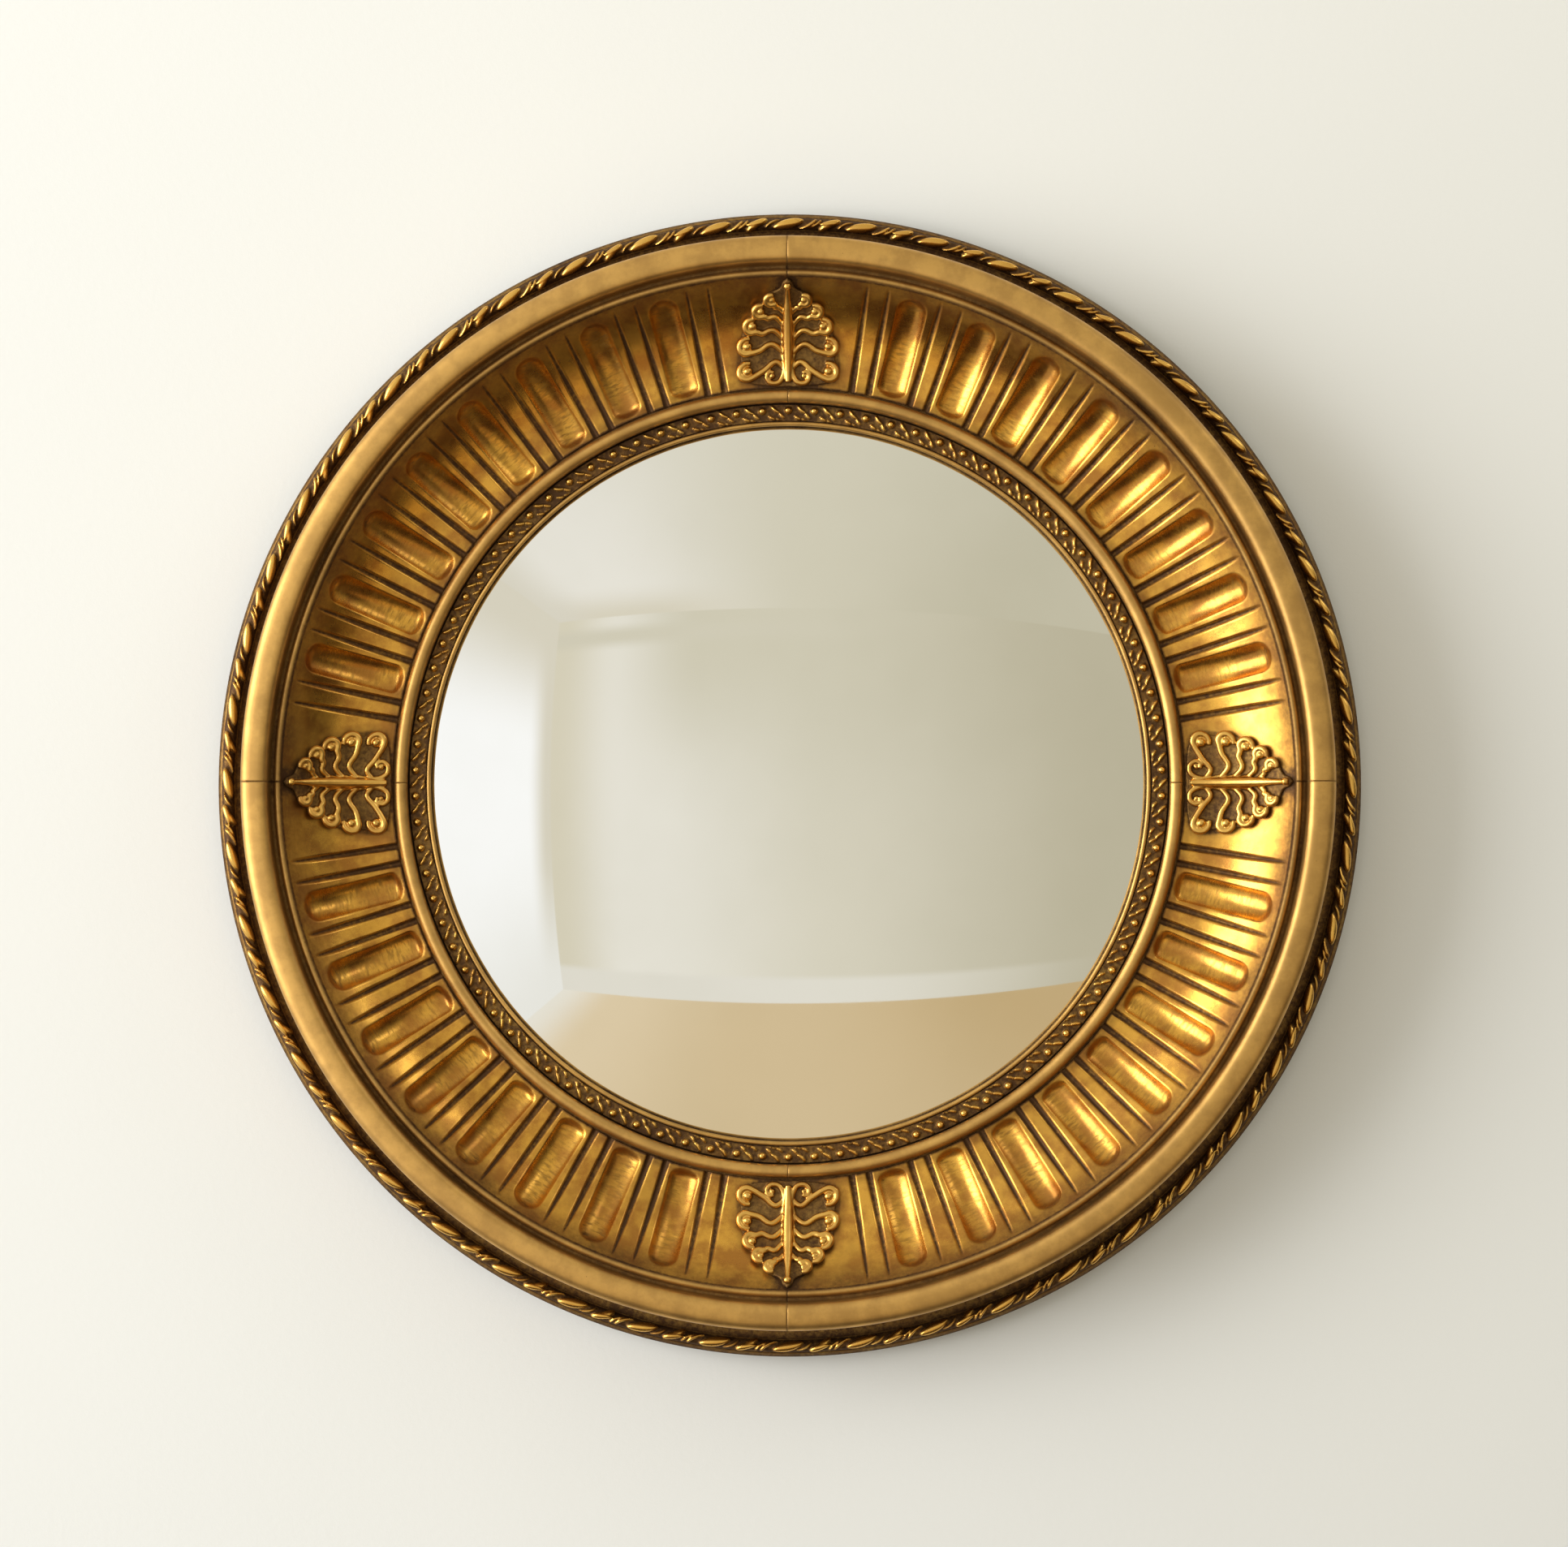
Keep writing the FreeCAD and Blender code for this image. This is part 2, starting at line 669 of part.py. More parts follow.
def make_glazing():
    """The slip, its carved band, the glass, the packing behind it and the backboard."""
    slip = turned(
        "slip",
        [
            ("glass_rebate", "board_front"),
            ("slip_shoulder", "board_front"),
            ("slip_shoulder", "ledge"),
            ("slip_face", "ledge"),
            ("slip_face", "band_floor"),
            ("lip_radius + lip_width", "band_floor"),
            ("lip_radius + lip_width", "lip_side"),
            ("lip_radius", "lip_side"),
            ("lip_radius", "seat"),
            ("glass_rebate", "seat"),
        ],
    )
    keep(slip, "sight_slip")
    band = turned(
        "band",
        [
            ("band_inner", "band_floor"),
            ("band_inner", "band_side", "radius", "band_curve", 1),
            ("slip_face - band_gap", "band_side"),
            ("slip_face - band_gap", "band_floor"),
        ],
    )
    keep(band, "leaf_and_dart_band")
    glass = turned(
        "glass",
        [
            ("0", "glass_apex - glass_thickness", "level", "glass_centre", 1),
            ("glass_radius", "glass_back"),
            ("glass_radius", "glass_front", "level", "glass_centre", -1),
            ("0", "glass_apex"),
        ],
    )
    keep(glass, "convex_glass")
    packing = turned(
        "packing",
        [
            ("glass_radius - packing_width", "board_front"),
            ("glass_radius", "board_front"),
            ("glass_radius", "glass_back"),
            ("glass_radius - packing_width", "glass_back"),
        ],
    )
    keep(packing, "packing_ring")
    board = turned(
        "board",
        [
            ("0", "recess_depth"),
            ("board_radius", "recess_depth"),
            ("board_radius", "board_front"),
            ("0", "board_front"),
        ],
    )
    keep(board, "backboard")


def padded(body, sketch, thickness):
    pad = body.newObject("PartDesign::Pad", sketch.Name + "_pad")
    pad.Profile = sketch
    pad.setExpression("Length", bind(thickness))
    return pad


def turned_screw(body, name, level, steps):
    """One screw turned about its own axis, which is the line through the section's first point."""
    sketch = new_sketch(body, name + "_section", "XY_Plane", level)
    draw_outline(sketch, section(steps))
    ends = [FreeCAD.Vector(at(step[0]), at(minus(step[1])), 0) for step in (steps[0], steps[-1])]
    axis = sketch.addGeometry(Part.LineSegment(*ends), True)
    pin_point(sketch, axis, 1, steps[0][0], minus(steps[0][1]))
    pin_point(sketch, axis, 2, steps[-1][0], minus(steps[-1][1]))
    turn = body.newObject("PartDesign::Revolution", name + "_turning")
    turn.Profile = sketch
    turn.ReferenceAxis = (sketch, ["Axis0"])
    turn.Angle = 360.0
    return sketch, turn


def make_buttons():
    """Four brass turn buttons across the edge of the board, pointing to the mirror's axis."""
    for index, name in enumerate(QUARTERS):
        body = doc.addObject("PartDesign::Body", "button_" + name)
        sketch = new_sketch(body, name + "_plan", "XZ_Plane", "button_back")
        draw_outline(
            sketch,
            [
                ("button_end", "- button_half"),
                ("button_pivot", "- button_half", "column", "button_pivot", 1),
                ("button_pivot", "button_half"),
                ("button_end", "button_half", "column", "button_end", 1),
            ],
        )
        draw_circle(sketch, "button_pivot", "0", "pivot_radius + pivot_gap")
        padded(body, sketch, "button_thickness")
        body.Placement.Rotation = FreeCAD.Rotation(FORWARD, 90.0 * index + 45.0)
        keep(body, "turn_button_" + name)


def make_pivot_screws():
    """The four slotted screws that the turn buttons turn on."""
    body = doc.addObject("PartDesign::Body", "pivots")
    sketch, turn = turned_screw(
        body,
        "pivot",
        None,
        [
            ("button_pivot", "pivot_head_back"),
            ("button_pivot + pivot_radius", "pivot_head_back"),
            ("button_pivot + pivot_head_radius", "pivot_head_top - pivot_head_edge"),
            ("button_pivot + pivot_head_radius", "pivot_head_top"),
            ("button_pivot + pivot_radius", "pivot_head_top"),
            ("button_pivot + pivot_radius", "pivot_tip - pivot_radius"),
            ("button_pivot", "pivot_tip"),
        ],
    )
    slot = screw_slot(body, "pivot", "button_pivot", "0", "pivot_head_radius", "pivot_head_back")
    pattern = body.newObject("PartDesign::PolarPattern", "pivot_ring")
    pattern.Originals = [turn, slot]
    pattern.Axis = (sketch, ["V_Axis"])
    pattern.Angle = 360.0
    pattern.Occurrences = len(QUARTERS)
    body.Tip = pattern
    body.Placement.Rotation = FreeCAD.Rotation(FORWARD, 45.0)
    keep(body, "turn_button_screws")


def screw_slot(body, name, across, up, reach, level):
    """The driver slot across a screw's head."""
    sketch = new_sketch(body, name + "_slot_plan", "XZ_Plane", level)
    left = f"{across} - {reach} - slot_over"
    right = f"{across} + {reach} + slot_over"
    low = minus("slot_half") if up == "0" else f"{up} - slot_half"
    high = "slot_half" if up == "0" else f"{up} + slot_half"
    draw_outline(sketch, [(left, low), (right, low), (right, high), (left, high)])
    slot = body.newObject("PartDesign::Pocket", name + "_slot")
    slot.Profile = sketch
    slot.setExpression("Length", bind("slot_depth"))
    slot.Reversed = True
    return slot


def make_hanger_plate():
    """A brass plate with four countersunk holes and a rolled knuckle for the ring's bar."""
    body = doc.addObject("PartDesign::Body", "plate")
    sketch = new_sketch(body, "plate_plan", "XZ_Plane", "plate_back")
    draw_outline(
        sketch,
        [
            ("- plate_half", "plate_bottom"),
            ("plate_half", "plate_bottom"),
            ("plate_half", "plate_top"),
            ("knuckle_half", "plate_top"),
            ("knuckle_half", "knuckle_place"),
            ("- knuckle_half", "knuckle_place"),
            ("- knuckle_half", "plate_top"),
            ("- plate_half", "plate_top"),
        ],
    )
    for across in ("- screw_column", "screw_column"):
        for up in ("screw_row", "screw_row + hanger_screw_rows"):
            draw_circle(sketch, across, up, "hanger_screw_radius + screw_gap")
    pad = padded(body, sketch, "plate_thickness")
    doc.recompute()
    rims = []
    for number, edge in enumerate(pad.Shape.Edges, start=1):
        round_edge = isinstance(edge.Curve, Part.Circle)
        if round_edge and abs(edge.CenterOfMass.y + at("plate_back")) < 1e-6:
            rims.append(f"Edge{number}")
    sink = body.newObject("PartDesign::Chamfer", "countersinks")
    sink.Base = (pad, rims)
    sink.setExpression("Size", bind("hanger_screw_head - hanger_screw_radius"))
    roll = new_sketch(body, "knuckle_round", "YZ_Plane")
    draw_circle(roll, minus("knuckle_height"), "knuckle_place", "knuckle_radius")
    knuckle = padded(body, roll, "knuckle_length")
    knuckle.Midplane = True
    hole = new_sketch(body, "knuckle_hole", "YZ_Plane")
    draw_circle(hole, minus("knuckle_height"), "knuckle_place", "ring_wire_radius + ring_gap")
    bore = body.newObject("PartDesign::Pocket", "knuckle_bore")
    bore.Profile = hole
    bore.setExpression("Length", bind("plate_width"))
    bore.Midplane = True
    keep(body, "hanging_plate")


def make_hanger_screws():
    """Four countersunk screws through the hanging plate."""
    body = doc.addObject("PartDesign::Body", "plate_screws")
    sketch, turn = turned_screw(
        body,
        "plate_screw",
        "screw_row",
        [
            ("screw_column", "plate_back"),
            ("screw_column + hanger_screw_head", "plate_back"),
            ("screw_column + hanger_screw_radius", "screw_cone"),
            ("screw_column + hanger_screw_radius", "screw_tip - hanger_screw_radius"),
            ("screw_column", "screw_tip"),
        ],
    )
    slot = screw_slot(body, "plate_screw", "screw_column", "screw_row", "hanger_screw_head", "plate_back")
    rows = body.newObject("PartDesign::LinearPattern", "rows")
    rows.Direction = (origin_plane(body, "Z_Axis"), [""])
    rows.setExpression("Length", bind("hanger_screw_rows"))
    rows.Occurrences = 2
    columns = body.newObject("PartDesign::Mirrored", "columns")
    columns.MirrorPlane = (origin_plane(body, "YZ_Plane"), [""])
    pattern = body.newObject("PartDesign::MultiTransform", "plate_screw_grid")
    pattern.Originals = [turn, slot]
    pattern.Transformations = [rows, columns]
    body.Tip = pattern
    keep(body, "hanging_plate_screws")


def make_ring():
    """The wire ring, with its straight bar in the knuckle, hanging down."""
    body = doc.addObject("PartDesign::Body", "ring")
    path = new_sketch(body, "ring_path", "XZ_Plane", "knuckle_height")
    draw_outline(
        path,
        [
            ("0", "knuckle_place"),
            ("ring_bar", "knuckle_place", "radius", "ring_corner", -1),
            ("ring_half", "ring_shoulder"),
            ("ring_half", "ring_bow", "level", "ring_bow", -1),
            ("- ring_half", "ring_bow"),
            ("- ring_half", "ring_shoulder", "radius", "ring_corner", -1),
            ("- ring_bar", "knuckle_place"),
        ],
    )
    wire = new_sketch(body, "ring_wire", "YZ_Plane")
    draw_circle(wire, minus("knuckle_height"), "knuckle_place", "ring_wire_radius")
    pipe = body.newObject("PartDesign::AdditivePipe", "ring_pipe")
    pipe.Profile = wire
    pipe.Spine = (path, [f"Edge{number}" for number in range(1, 8)])
    keep(body, "hanging_ring")


def check_document():
    """Stops the build where any object failed or any piece isn't sound."""
    for item in doc.Objects:
        if "Invalid" in item.State or "Error" in item.State:
            raise RuntimeError(f"{item.Label} failed: {item.State}")
    for item in nodes:
        if item.Shape.isNull() or not item.Shape.isValid() or not item.Shape.Solids:
            raise RuntimeError(f"{item.Label} is not a sound solid")


fill_sheet()
fill_places()
make_frame()
make_tongues()
make_rope_edges()
make_palmettes()
make_glazing()
make_buttons()
make_pivot_screws()
make_hanger_plate()
make_hanger_screws()
make_ring()
doc.recompute()
check_document()

os.makedirs("parts", exist_ok=True)
for item in nodes:
    item.Shape.exportStep(f"parts/{item.Label}.step")
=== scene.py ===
import math

import bpy
import numpy as np
from mathutils import Matrix, Vector


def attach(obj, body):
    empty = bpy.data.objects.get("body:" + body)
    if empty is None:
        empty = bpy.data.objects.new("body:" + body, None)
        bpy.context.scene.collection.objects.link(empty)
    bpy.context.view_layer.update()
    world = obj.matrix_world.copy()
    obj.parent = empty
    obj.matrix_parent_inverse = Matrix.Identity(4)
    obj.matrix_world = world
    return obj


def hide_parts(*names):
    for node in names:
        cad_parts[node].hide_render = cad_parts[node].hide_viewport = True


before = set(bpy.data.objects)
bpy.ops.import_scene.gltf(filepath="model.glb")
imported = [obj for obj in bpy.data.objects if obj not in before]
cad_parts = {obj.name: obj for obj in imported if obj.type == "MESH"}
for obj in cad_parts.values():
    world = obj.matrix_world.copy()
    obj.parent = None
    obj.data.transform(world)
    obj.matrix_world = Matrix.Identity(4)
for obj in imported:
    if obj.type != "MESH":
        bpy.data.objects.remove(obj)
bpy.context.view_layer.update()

# ---------------------------------------------------------------------------------------------
# Frame quarters. Four segments of pine, glued end to end, turned to one moulding, sunk with a
# fan of gouged flutes and pairs of cut lines, then coated with gesso, gilded and glazed brown.
# ---------------------------------------------------------------------------------------------
MM = 0.001
QUARTERS = ["upper_right", "upper_left", "lower_left", "lower_right"]
QUARTER_STEPS = 720
COVE_INNER = 165.4
COVE_OUTER = 208.9
COVE_RADIUS = 52.0
COVE_CENTRE = 75.5
COVE_TOP = COVE_CENTRE - math.sqrt(COVE_RADIUS**2 - (COVE_OUTER - COVE_INNER) ** 2)
RIM_CENTRE = 219.65
RIM_HEIGHT = 48.02
RIM_RADIUS = 5.75
RIM_SQUARE = 0.62  # power of the rounded square the rim's section is drawn as; 1 is a circle
RIM_TILT = 1.0  # how much lower the rim's outer shoulder lies than the inner one
SHARP = 75.0


def arc(across, height, radius, first, last, count):
    """Points on an arc of a section, with angles in degrees from the outward direction."""
    angles = np.radians(np.linspace(first, last, count))
    return [(across + radius * math.cos(a), height + radius * math.sin(a)) for a in angles]


def turned(name, section, sweep, steps):
    """Draws a closed section on a ring of corners and turns it about the mirror's axis."""
    bpy.ops.object.select_all(action="DESELECT")
    bpy.ops.mesh.primitive_circle_add(vertices=len(section), radius=1.0)
    piece = bpy.context.object
    piece.name = name
    piece.data.name = name
    for corner, (across, height) in zip(piece.data.vertices, section):
        corner.co = (across * MM, -height * MM, 0.0)
    lathe = piece.modifiers.new("lathe", "SCREW")
    lathe.axis = "Y"
    lathe.angle = math.radians(-sweep)
    lathe.steps = lathe.render_steps = steps
    bpy.ops.object.modifier_apply(modifier="lathe")
    bpy.ops.object.mode_set(mode="EDIT")
    bpy.ops.mesh.select_all(action="SELECT")
    bpy.ops.mesh.remove_doubles(threshold=1e-6)
    bpy.ops.mesh.select_all(action="SELECT")
    bpy.ops.mesh.fill_holes(sides=0)
    bpy.ops.mesh.select_all(action="SELECT")
    bpy.ops.mesh.normals_make_consistent(inside=False)
    bpy.ops.object.mode_set(mode="OBJECT")
    return piece


def read_points(piece):
    """Radius, height and turn in degrees of every corner of a piece, in millimetres."""
    points = np.zeros(len(piece.data.vertices) * 3)
    piece.data.vertices.foreach_get("co", points)
    points = points.reshape(-1, 3) / MM
    radius = np.hypot(points[:, 0], points[:, 2])
    return radius, -points[:, 1], np.degrees(np.arctan2(points[:, 2], points[:, 0]))


def write_points(piece, radius, height, turn):
    angle = np.radians(turn)
    points = np.stack([radius * np.cos(angle), -height, radius * np.sin(angle)], axis=1) * MM
    piece.data.vertices.foreach_set("co", points.astype(np.float32).ravel())
    piece.data.update()


def step(low, high, value):
    """A smooth step from 0 at low to 1 at high."""
    share = np.clip((value - low) / (high - low), 0.0, 1.0)
    return share * share * (3.0 - 2.0 * share)


def bump(centre, reach, value):
    """A smooth bump of height 1 at a centre."""
    return np.clip(1.0 - ((value - centre) / reach) ** 2, 0.0, 1.0) ** 2


def waves(turn, across, seed):
    """Slow uneven waves over a ring, between about -1 and 1, as left by hand rubbing."""
    total = np.zeros_like(turn)
    for order, (round_count, weight) in enumerate([(3, 0.5), (7, 0.3), (17, 0.25), (41, 0.2)]):
        phase = seed * 1.7 + order * 2.3
        total += weight * np.sin(np.radians(turn) * round_count + phase + across * 0.13 * order)
    return total


def mark(piece, name, values):
    """Keeps one number per corner for the finish to read."""
    layer = piece.data.attributes.new(name, "FLOAT", "POINT")
    layer.data.foreach_set("value", np.clip(values, 0.0, 1.0).astype(np.float32))


def smooth(piece, degrees=40.0):
    bpy.ops.object.select_all(action="DESELECT")
    piece.select_set(True)
    bpy.context.view_layer.objects.active = piece
    bpy.ops.object.shade_smooth_by_angle(angle=math.radians(degrees))


def copy_turned(piece, name, degrees):
    """A copy with its own mesh, turned about the mirror's axis as seen from the front."""
    twin = piece.copy()
    twin.data = piece.data.copy()
    twin.name = name
    twin.data.name = name
    bpy.context.scene.collection.objects.link(twin)
    twin.data.transform(Matrix.Rotation(math.radians(degrees), 4, (0, -1, 0)))
    return twin


quarter_section = [(162.0, 8.0), (162.0, 18.0), (159.0, 18.0), (159.0, 22.6)]
quarter_section += arc(161.75, 23.98, 2.7, 176.0, 4.0, 11)
quarter_section += [(164.55, 22.9), (164.8, 22.55), (165.2, 22.5), (165.4, 22.9)]
quarter_section += arc(COVE_INNER, COVE_CENTRE, COVE_RADIUS, -90.0, -33.5, 56)
quarter_section += [(208.95, 47.35)]
quarter_section += arc(210.15, 47.35, 1.25, 150.0, 12.0, 8)
quarter_section += [(211.6, 46.6), (211.9, 45.6), (212.3, 45.25), (213.0, 45.25), (213.4, 45.6)]
quarter_section += [(213.75, 46.8)]
for across, height in arc(0.0, 0.0, 1.0, 172.0, 0.0, 17):
    across = math.copysign(abs(across) ** RIM_SQUARE, across)
    high = RIM_HEIGHT + (RIM_RADIUS - 0.2) * height**RIM_SQUARE - RIM_TILT * across / 2
    quarter_section.append((RIM_CENTRE + (RIM_RADIUS - 0.05) * across, high))
quarter_section += [(225.3, 45.6), (224.7, 42.4), (224.2, 38.0), (224.0, 32.0), (224.3, 25.0)]
quarter_section += [(225.3, 18.8), (226.5, 14.4), (227.0, 12.0), (239.6, 12.0), (239.9, 11.6)]
quarter_section += [(240.0, 11.0), (240.0, 1.9), (239.5, 0.9), (238.2, 0.0)]
quarter_section += [(227.0, 0.0), (216.0, 0.0), (216.0, 8.0), (189.0, 8.0)]

FLUTE_COUNT = 8
FAN_MARGIN = 10.44
FLUTE_RADIUS = 8.1
FLUTE_DEPTH = 3.0
FLUTE_START = 1.4
FLUTE_END = 3.2
FLUTE_FOOT = 0.55
FLUTE_SOFTNESS = 0.35
LINE_SPACING = 2.5
LINE_DEPTH = 1.3
LINE_WIDTH = 1.85
LINE_END = 1.6
LINE_TAPER = 0.38
JOINT_CRACK = 0.16
# Half width of a palmette's foot print at places up the cove, for the painted shade round it.
PAD_UP = [0.5, 4.0, 10.0, 20.0, 30.0, 37.0, 42.0, 47.0]
PAD_HALF = [10.0, 19.5, 20.8, 19.5, 15.6, 10.7, 6.0, 2.0]


def cove_run(radius):
    """Distance up the cove's arc from its foot at a radius from the axis."""
    share = np.clip((radius - COVE_INNER) / COVE_RADIUS, 0.0, 1.0)
    return COVE_RADIUS * np.arcsin(share)


def gouge(run, across):
    """Depth of one flute at a distance up the cove and a distance from its middle."""
    half = math.sqrt(FLUTE_RADIUS**2 - (FLUTE_RADIUS - FLUTE_DEPTH) ** 2)
    low = cove_run(COVE_INNER + FLUTE_START) + half * FLUTE_FOOT
    high = cove_run(COVE_OUTER - FLUTE_END) - half
    beyond = np.where(run < low, (low - run) / FLUTE_FOOT, np.clip(run - high, 0.0, None))
    away = np.hypot(across, beyond)
    inside = np.sqrt(np.clip(FLUTE_RADIUS**2 - away**2, 0.0, None)) - (FLUTE_RADIUS - FLUTE_DEPTH)
    return np.clip(0.5 * (inside + np.hypot(inside, FLUTE_SOFTNESS)) - 0.03, 0.0, None)


def cut_line(run, across):
    """Depth of one cut line, which narrows to a point near the top of the cove."""
    top = cove_run(COVE_OUTER - LINE_END)
    left = np.clip(1.0 - run / top, 0.0, 1.0) ** LINE_TAPER
    width = LINE_WIDTH * (0.3 + 0.7 * left) * step(0.0, 0.15, left) + 1e-6
    return LINE_DEPTH * left * np.clip(1.0 - (across / width) ** 2, 0.0, 1.0) ** 1.6


quarter = turned("frame_wood", quarter_section, 90.0, QUARTER_STEPS)
radius, height, turn = read_points(quarter)
from_arc = np.hypot(radius - COVE_INNER, height - COVE_CENTRE) - COVE_RADIUS
on_cove = (np.abs(from_arc) < 0.02) & (radius > COVE_INNER - 0.01) & (radius < COVE_OUTER)
run = cove_run(radius)
pitch = (90.0 - 2 * FAN_MARGIN) / FLUTE_COUNT
depth = np.zeros_like(radius)
line_depth = np.zeros_like(radius)
for index in range(FLUTE_COUNT):
    middle = FAN_MARGIN + pitch * (index + 0.5)
    depth = np.maximum(depth, gouge(run, np.radians(turn - middle) * radius))
for index in range(FLUTE_COUNT + 1):
    for side in (-0.5, 0.5):
        middle = FAN_MARGIN + pitch * index + side * LINE_SPACING
        line_depth = np.maximum(line_depth, cut_line(run, np.radians(turn - middle) * radius))
cut = np.maximum(depth, line_depth) * on_cove
slope = (radius - COVE_INNER) / COVE_RADIUS
facing = np.sqrt(np.clip(1.0 - slope**2, 0.0, 1.0))
front = step(20.0, 22.0, height)
uneven = 0.05 * waves(turn, radius, 1) * front
crack = JOINT_CRACK * (bump(0.0, 0.16, turn) + bump(90.0, 0.16, turn)) * front
crack *= step(206.0, 210.0, radius) + step(165.2, 164.5, radius)
write_points(
    quarter,
    radius + cut * slope + uneven * 0.4 * (radius < 225.0),
    height - cut * facing - crack + np.where(height > 47.0, 0.0, uneven),
    turn,
)
from_joint = np.radians(np.minimum(turn, 90.0 - turn)) * radius
from_pad = from_joint - np.interp(run, PAD_UP, PAD_HALF)
# Brown glaze left in the hollows, and with it painted shade: in the quirk at the cove's foot, in
# the cut lines, over the cove's upper part under the rim and along its foot, round each palmette,
# in the channel and along the cove's top edge, down the rim's outer side and the flange towards
# the wall, and in the rebate behind the slip. The fillet is toned a little darker and the joint
# cracks are dark.
glaze = 0.95 * bump(165.1, 0.9, radius) * step(20.0, 21.0, height)
glaze += 0.95 * step(0.12, 0.75, line_depth) * on_cove
glaze += 0.6 * step(198.0, 208.8, radius) * on_cove
glaze += 0.4 * bump(COVE_INNER + 1.6, 3.4, radius) * on_cove
# Painted shade in a halo round each palmette's foot print.
glaze += (0.35 * step(6.0, 1.0, from_pad) + 0.45 * step(1.8, 0.4, from_pad)) * on_cove
glaze += 0.8 * bump(212.7, 1.5, radius) * step(44.0, 45.0, height)
glaze += 0.45 * bump(208.9, 0.7, radius) * step(46.0, 47.0, height)
glaze += 0.3 * (radius > 208.9) * (radius < 212.0)
outside = (radius > 223.9) & (height < 47.0)
glaze += outside * (0.25 + 0.75 * step(44.0, 20.0, height))
glaze += 0.9 * (radius < 159.3) * (height < 23.5)
glaze += 0.7 * crack / JOINT_CRACK
mark(quarter, "glaze", glaze)
rubbed = 0.4 * bump(COVE_TOP + 1.9, 1.2, height) * bump(210.1, 1.6, radius)
rubbed += 0.5 * bump(53.8, 1.2, height)
rubbed += 0.5 * bump(26.7, 0.7, height) * (radius < 164.5)
mark(quarter, "rubbed", rubbed)
# Brush strokes of glaze, laid thicker deep in the flutes and towards their outer ends, so that
# they also paint shade into the flutes.
brushed = 0.04 + 0.75 * step(0.4, 1.9, depth) + 0.3 * step(201.0, 206.0, radius) * (depth > 0.3)
mark(quarter, "brushed", brushed * on_cove)
mark(quarter, "dull", np.where(on_cove, 0.0, 1.0))
smooth(quarter, SHARP)

# ---------------------------------------------------------------------------------------------
# Aged gilding. Metal leaf over a red bole on gesso, toned with a thin brown glaze that stays in
# the hollows and is wiped off the high points, with flecks and cloudy dull patches of age. The
# same brown also paints shade into recesses, gaps and the ground round raised ornament.
# ---------------------------------------------------------------------------------------------


def place(tree, kind, settings=None, **inputs):
    """Adds one node with its settings, and sets or links its inputs by name, or i and a number."""
    made = tree.nodes.new(kind)
    for name, value in (settings or {}).items():
        setattr(made, name, value)
    for name, value in inputs.items():
        numbered = name[0] == "i" and name[1:].isdigit()
        socket = made.inputs[int(name[1:]) if numbered else name.replace("_", " ")]
        if isinstance(value, bpy.types.NodeSocket):
            tree.links.new(value, socket)
        else:
            socket.default_value = value
    return made


def grain(tree, where, scale, detail=4.0, rough=0.55):
    """Cloudy noise at a scale in features to the metre."""
    sizes = {"Scale": scale, "Detail": detail, "Roughness": rough}
    return place(tree, "ShaderNodeTexNoise", Vector=where, **sizes).outputs["Fac"]


def spread(tree, value, low, high, first=0.0, last=1.0):
    """Maps a value between two ends to a clamped smooth ramp."""
    ends = {"i0": value, "i1": low, "i2": high, "i3": first, "i4": last}
    kind = {"interpolation_type": "SMOOTHSTEP"}
    return place(tree, "ShaderNodeMapRange", kind, **ends).outputs[0]


def reckon(tree, operation, first, second=0.0):
    """One sum of two values, with sums and differences kept between 0 and 1."""
    kind = {"operation": operation, "use_clamp": operation in ("ADD", "SUBTRACT")}
    return place(tree, "ShaderNodeMath", kind, i0=first, i1=second).outputs[0]


def times(tree, first, second):
    return reckon(tree, "MULTIPLY", first, second)


def plus(tree, first, second):
    return reckon(tree, "ADD", first, second)


def blend(tree, share, first, second):
    """Mixes two colours by a share."""
    mixed = place(tree, "ShaderNodeMix", {"data_type": "RGBA"}, i0=share, i6=first, i7=second)
    return mixed.outputs[2]


def emboss(tree, shader, height, strength, distance):
    """Gives a finish a fine relief."""
    sizes = {"Strength": strength, "Distance": distance}
    raised = place(tree, "ShaderNodeBump", None, Height=height, **sizes)
    tree.links.new(raised.outputs["Normal"], shader.inputs["Normal"])


def new_finish(name):
    """A new material, its nodes and its main shader."""
    finish = bpy.data.materials.new(name)
    finish.use_nodes = True
    return finish, finish.node_tree, finish.node_tree.nodes["Principled BSDF"]


def object_place(tree):
    return place(tree, "ShaderNodeTexCoord").outputs["Object"]


def new_effect(name, inputs, outputs):
    """An empty node group with named inputs and outputs."""
    group = bpy.data.node_groups.new(name, "ShaderNodeTree")
    for label, kind, value in inputs:
        socket = group.interface.new_socket(label, in_out="INPUT", socket_type=kind)
        socket.default_value = value
    for label, kind in outputs:
        group.interface.new_socket(label, in_out="OUTPUT", socket_type=kind)
    return group, place(group, "NodeGroupInput"), place(group, "NodeGroupOutput")


# Brown of the glaze, also used for painted shade.
GLAZE_AND_SHADE_BROWN = (0.085, 0.042, 0.018, 1.0)
BOLE_RED = (0.36, 0.14, 0.05, 1.0)
DULL_DARK = (0.50, 0.31, 0.105, 1.0)
DULL_LIGHT = (0.62, 0.385, 0.135, 1.0)
STROKE_STRETCH = 0.045

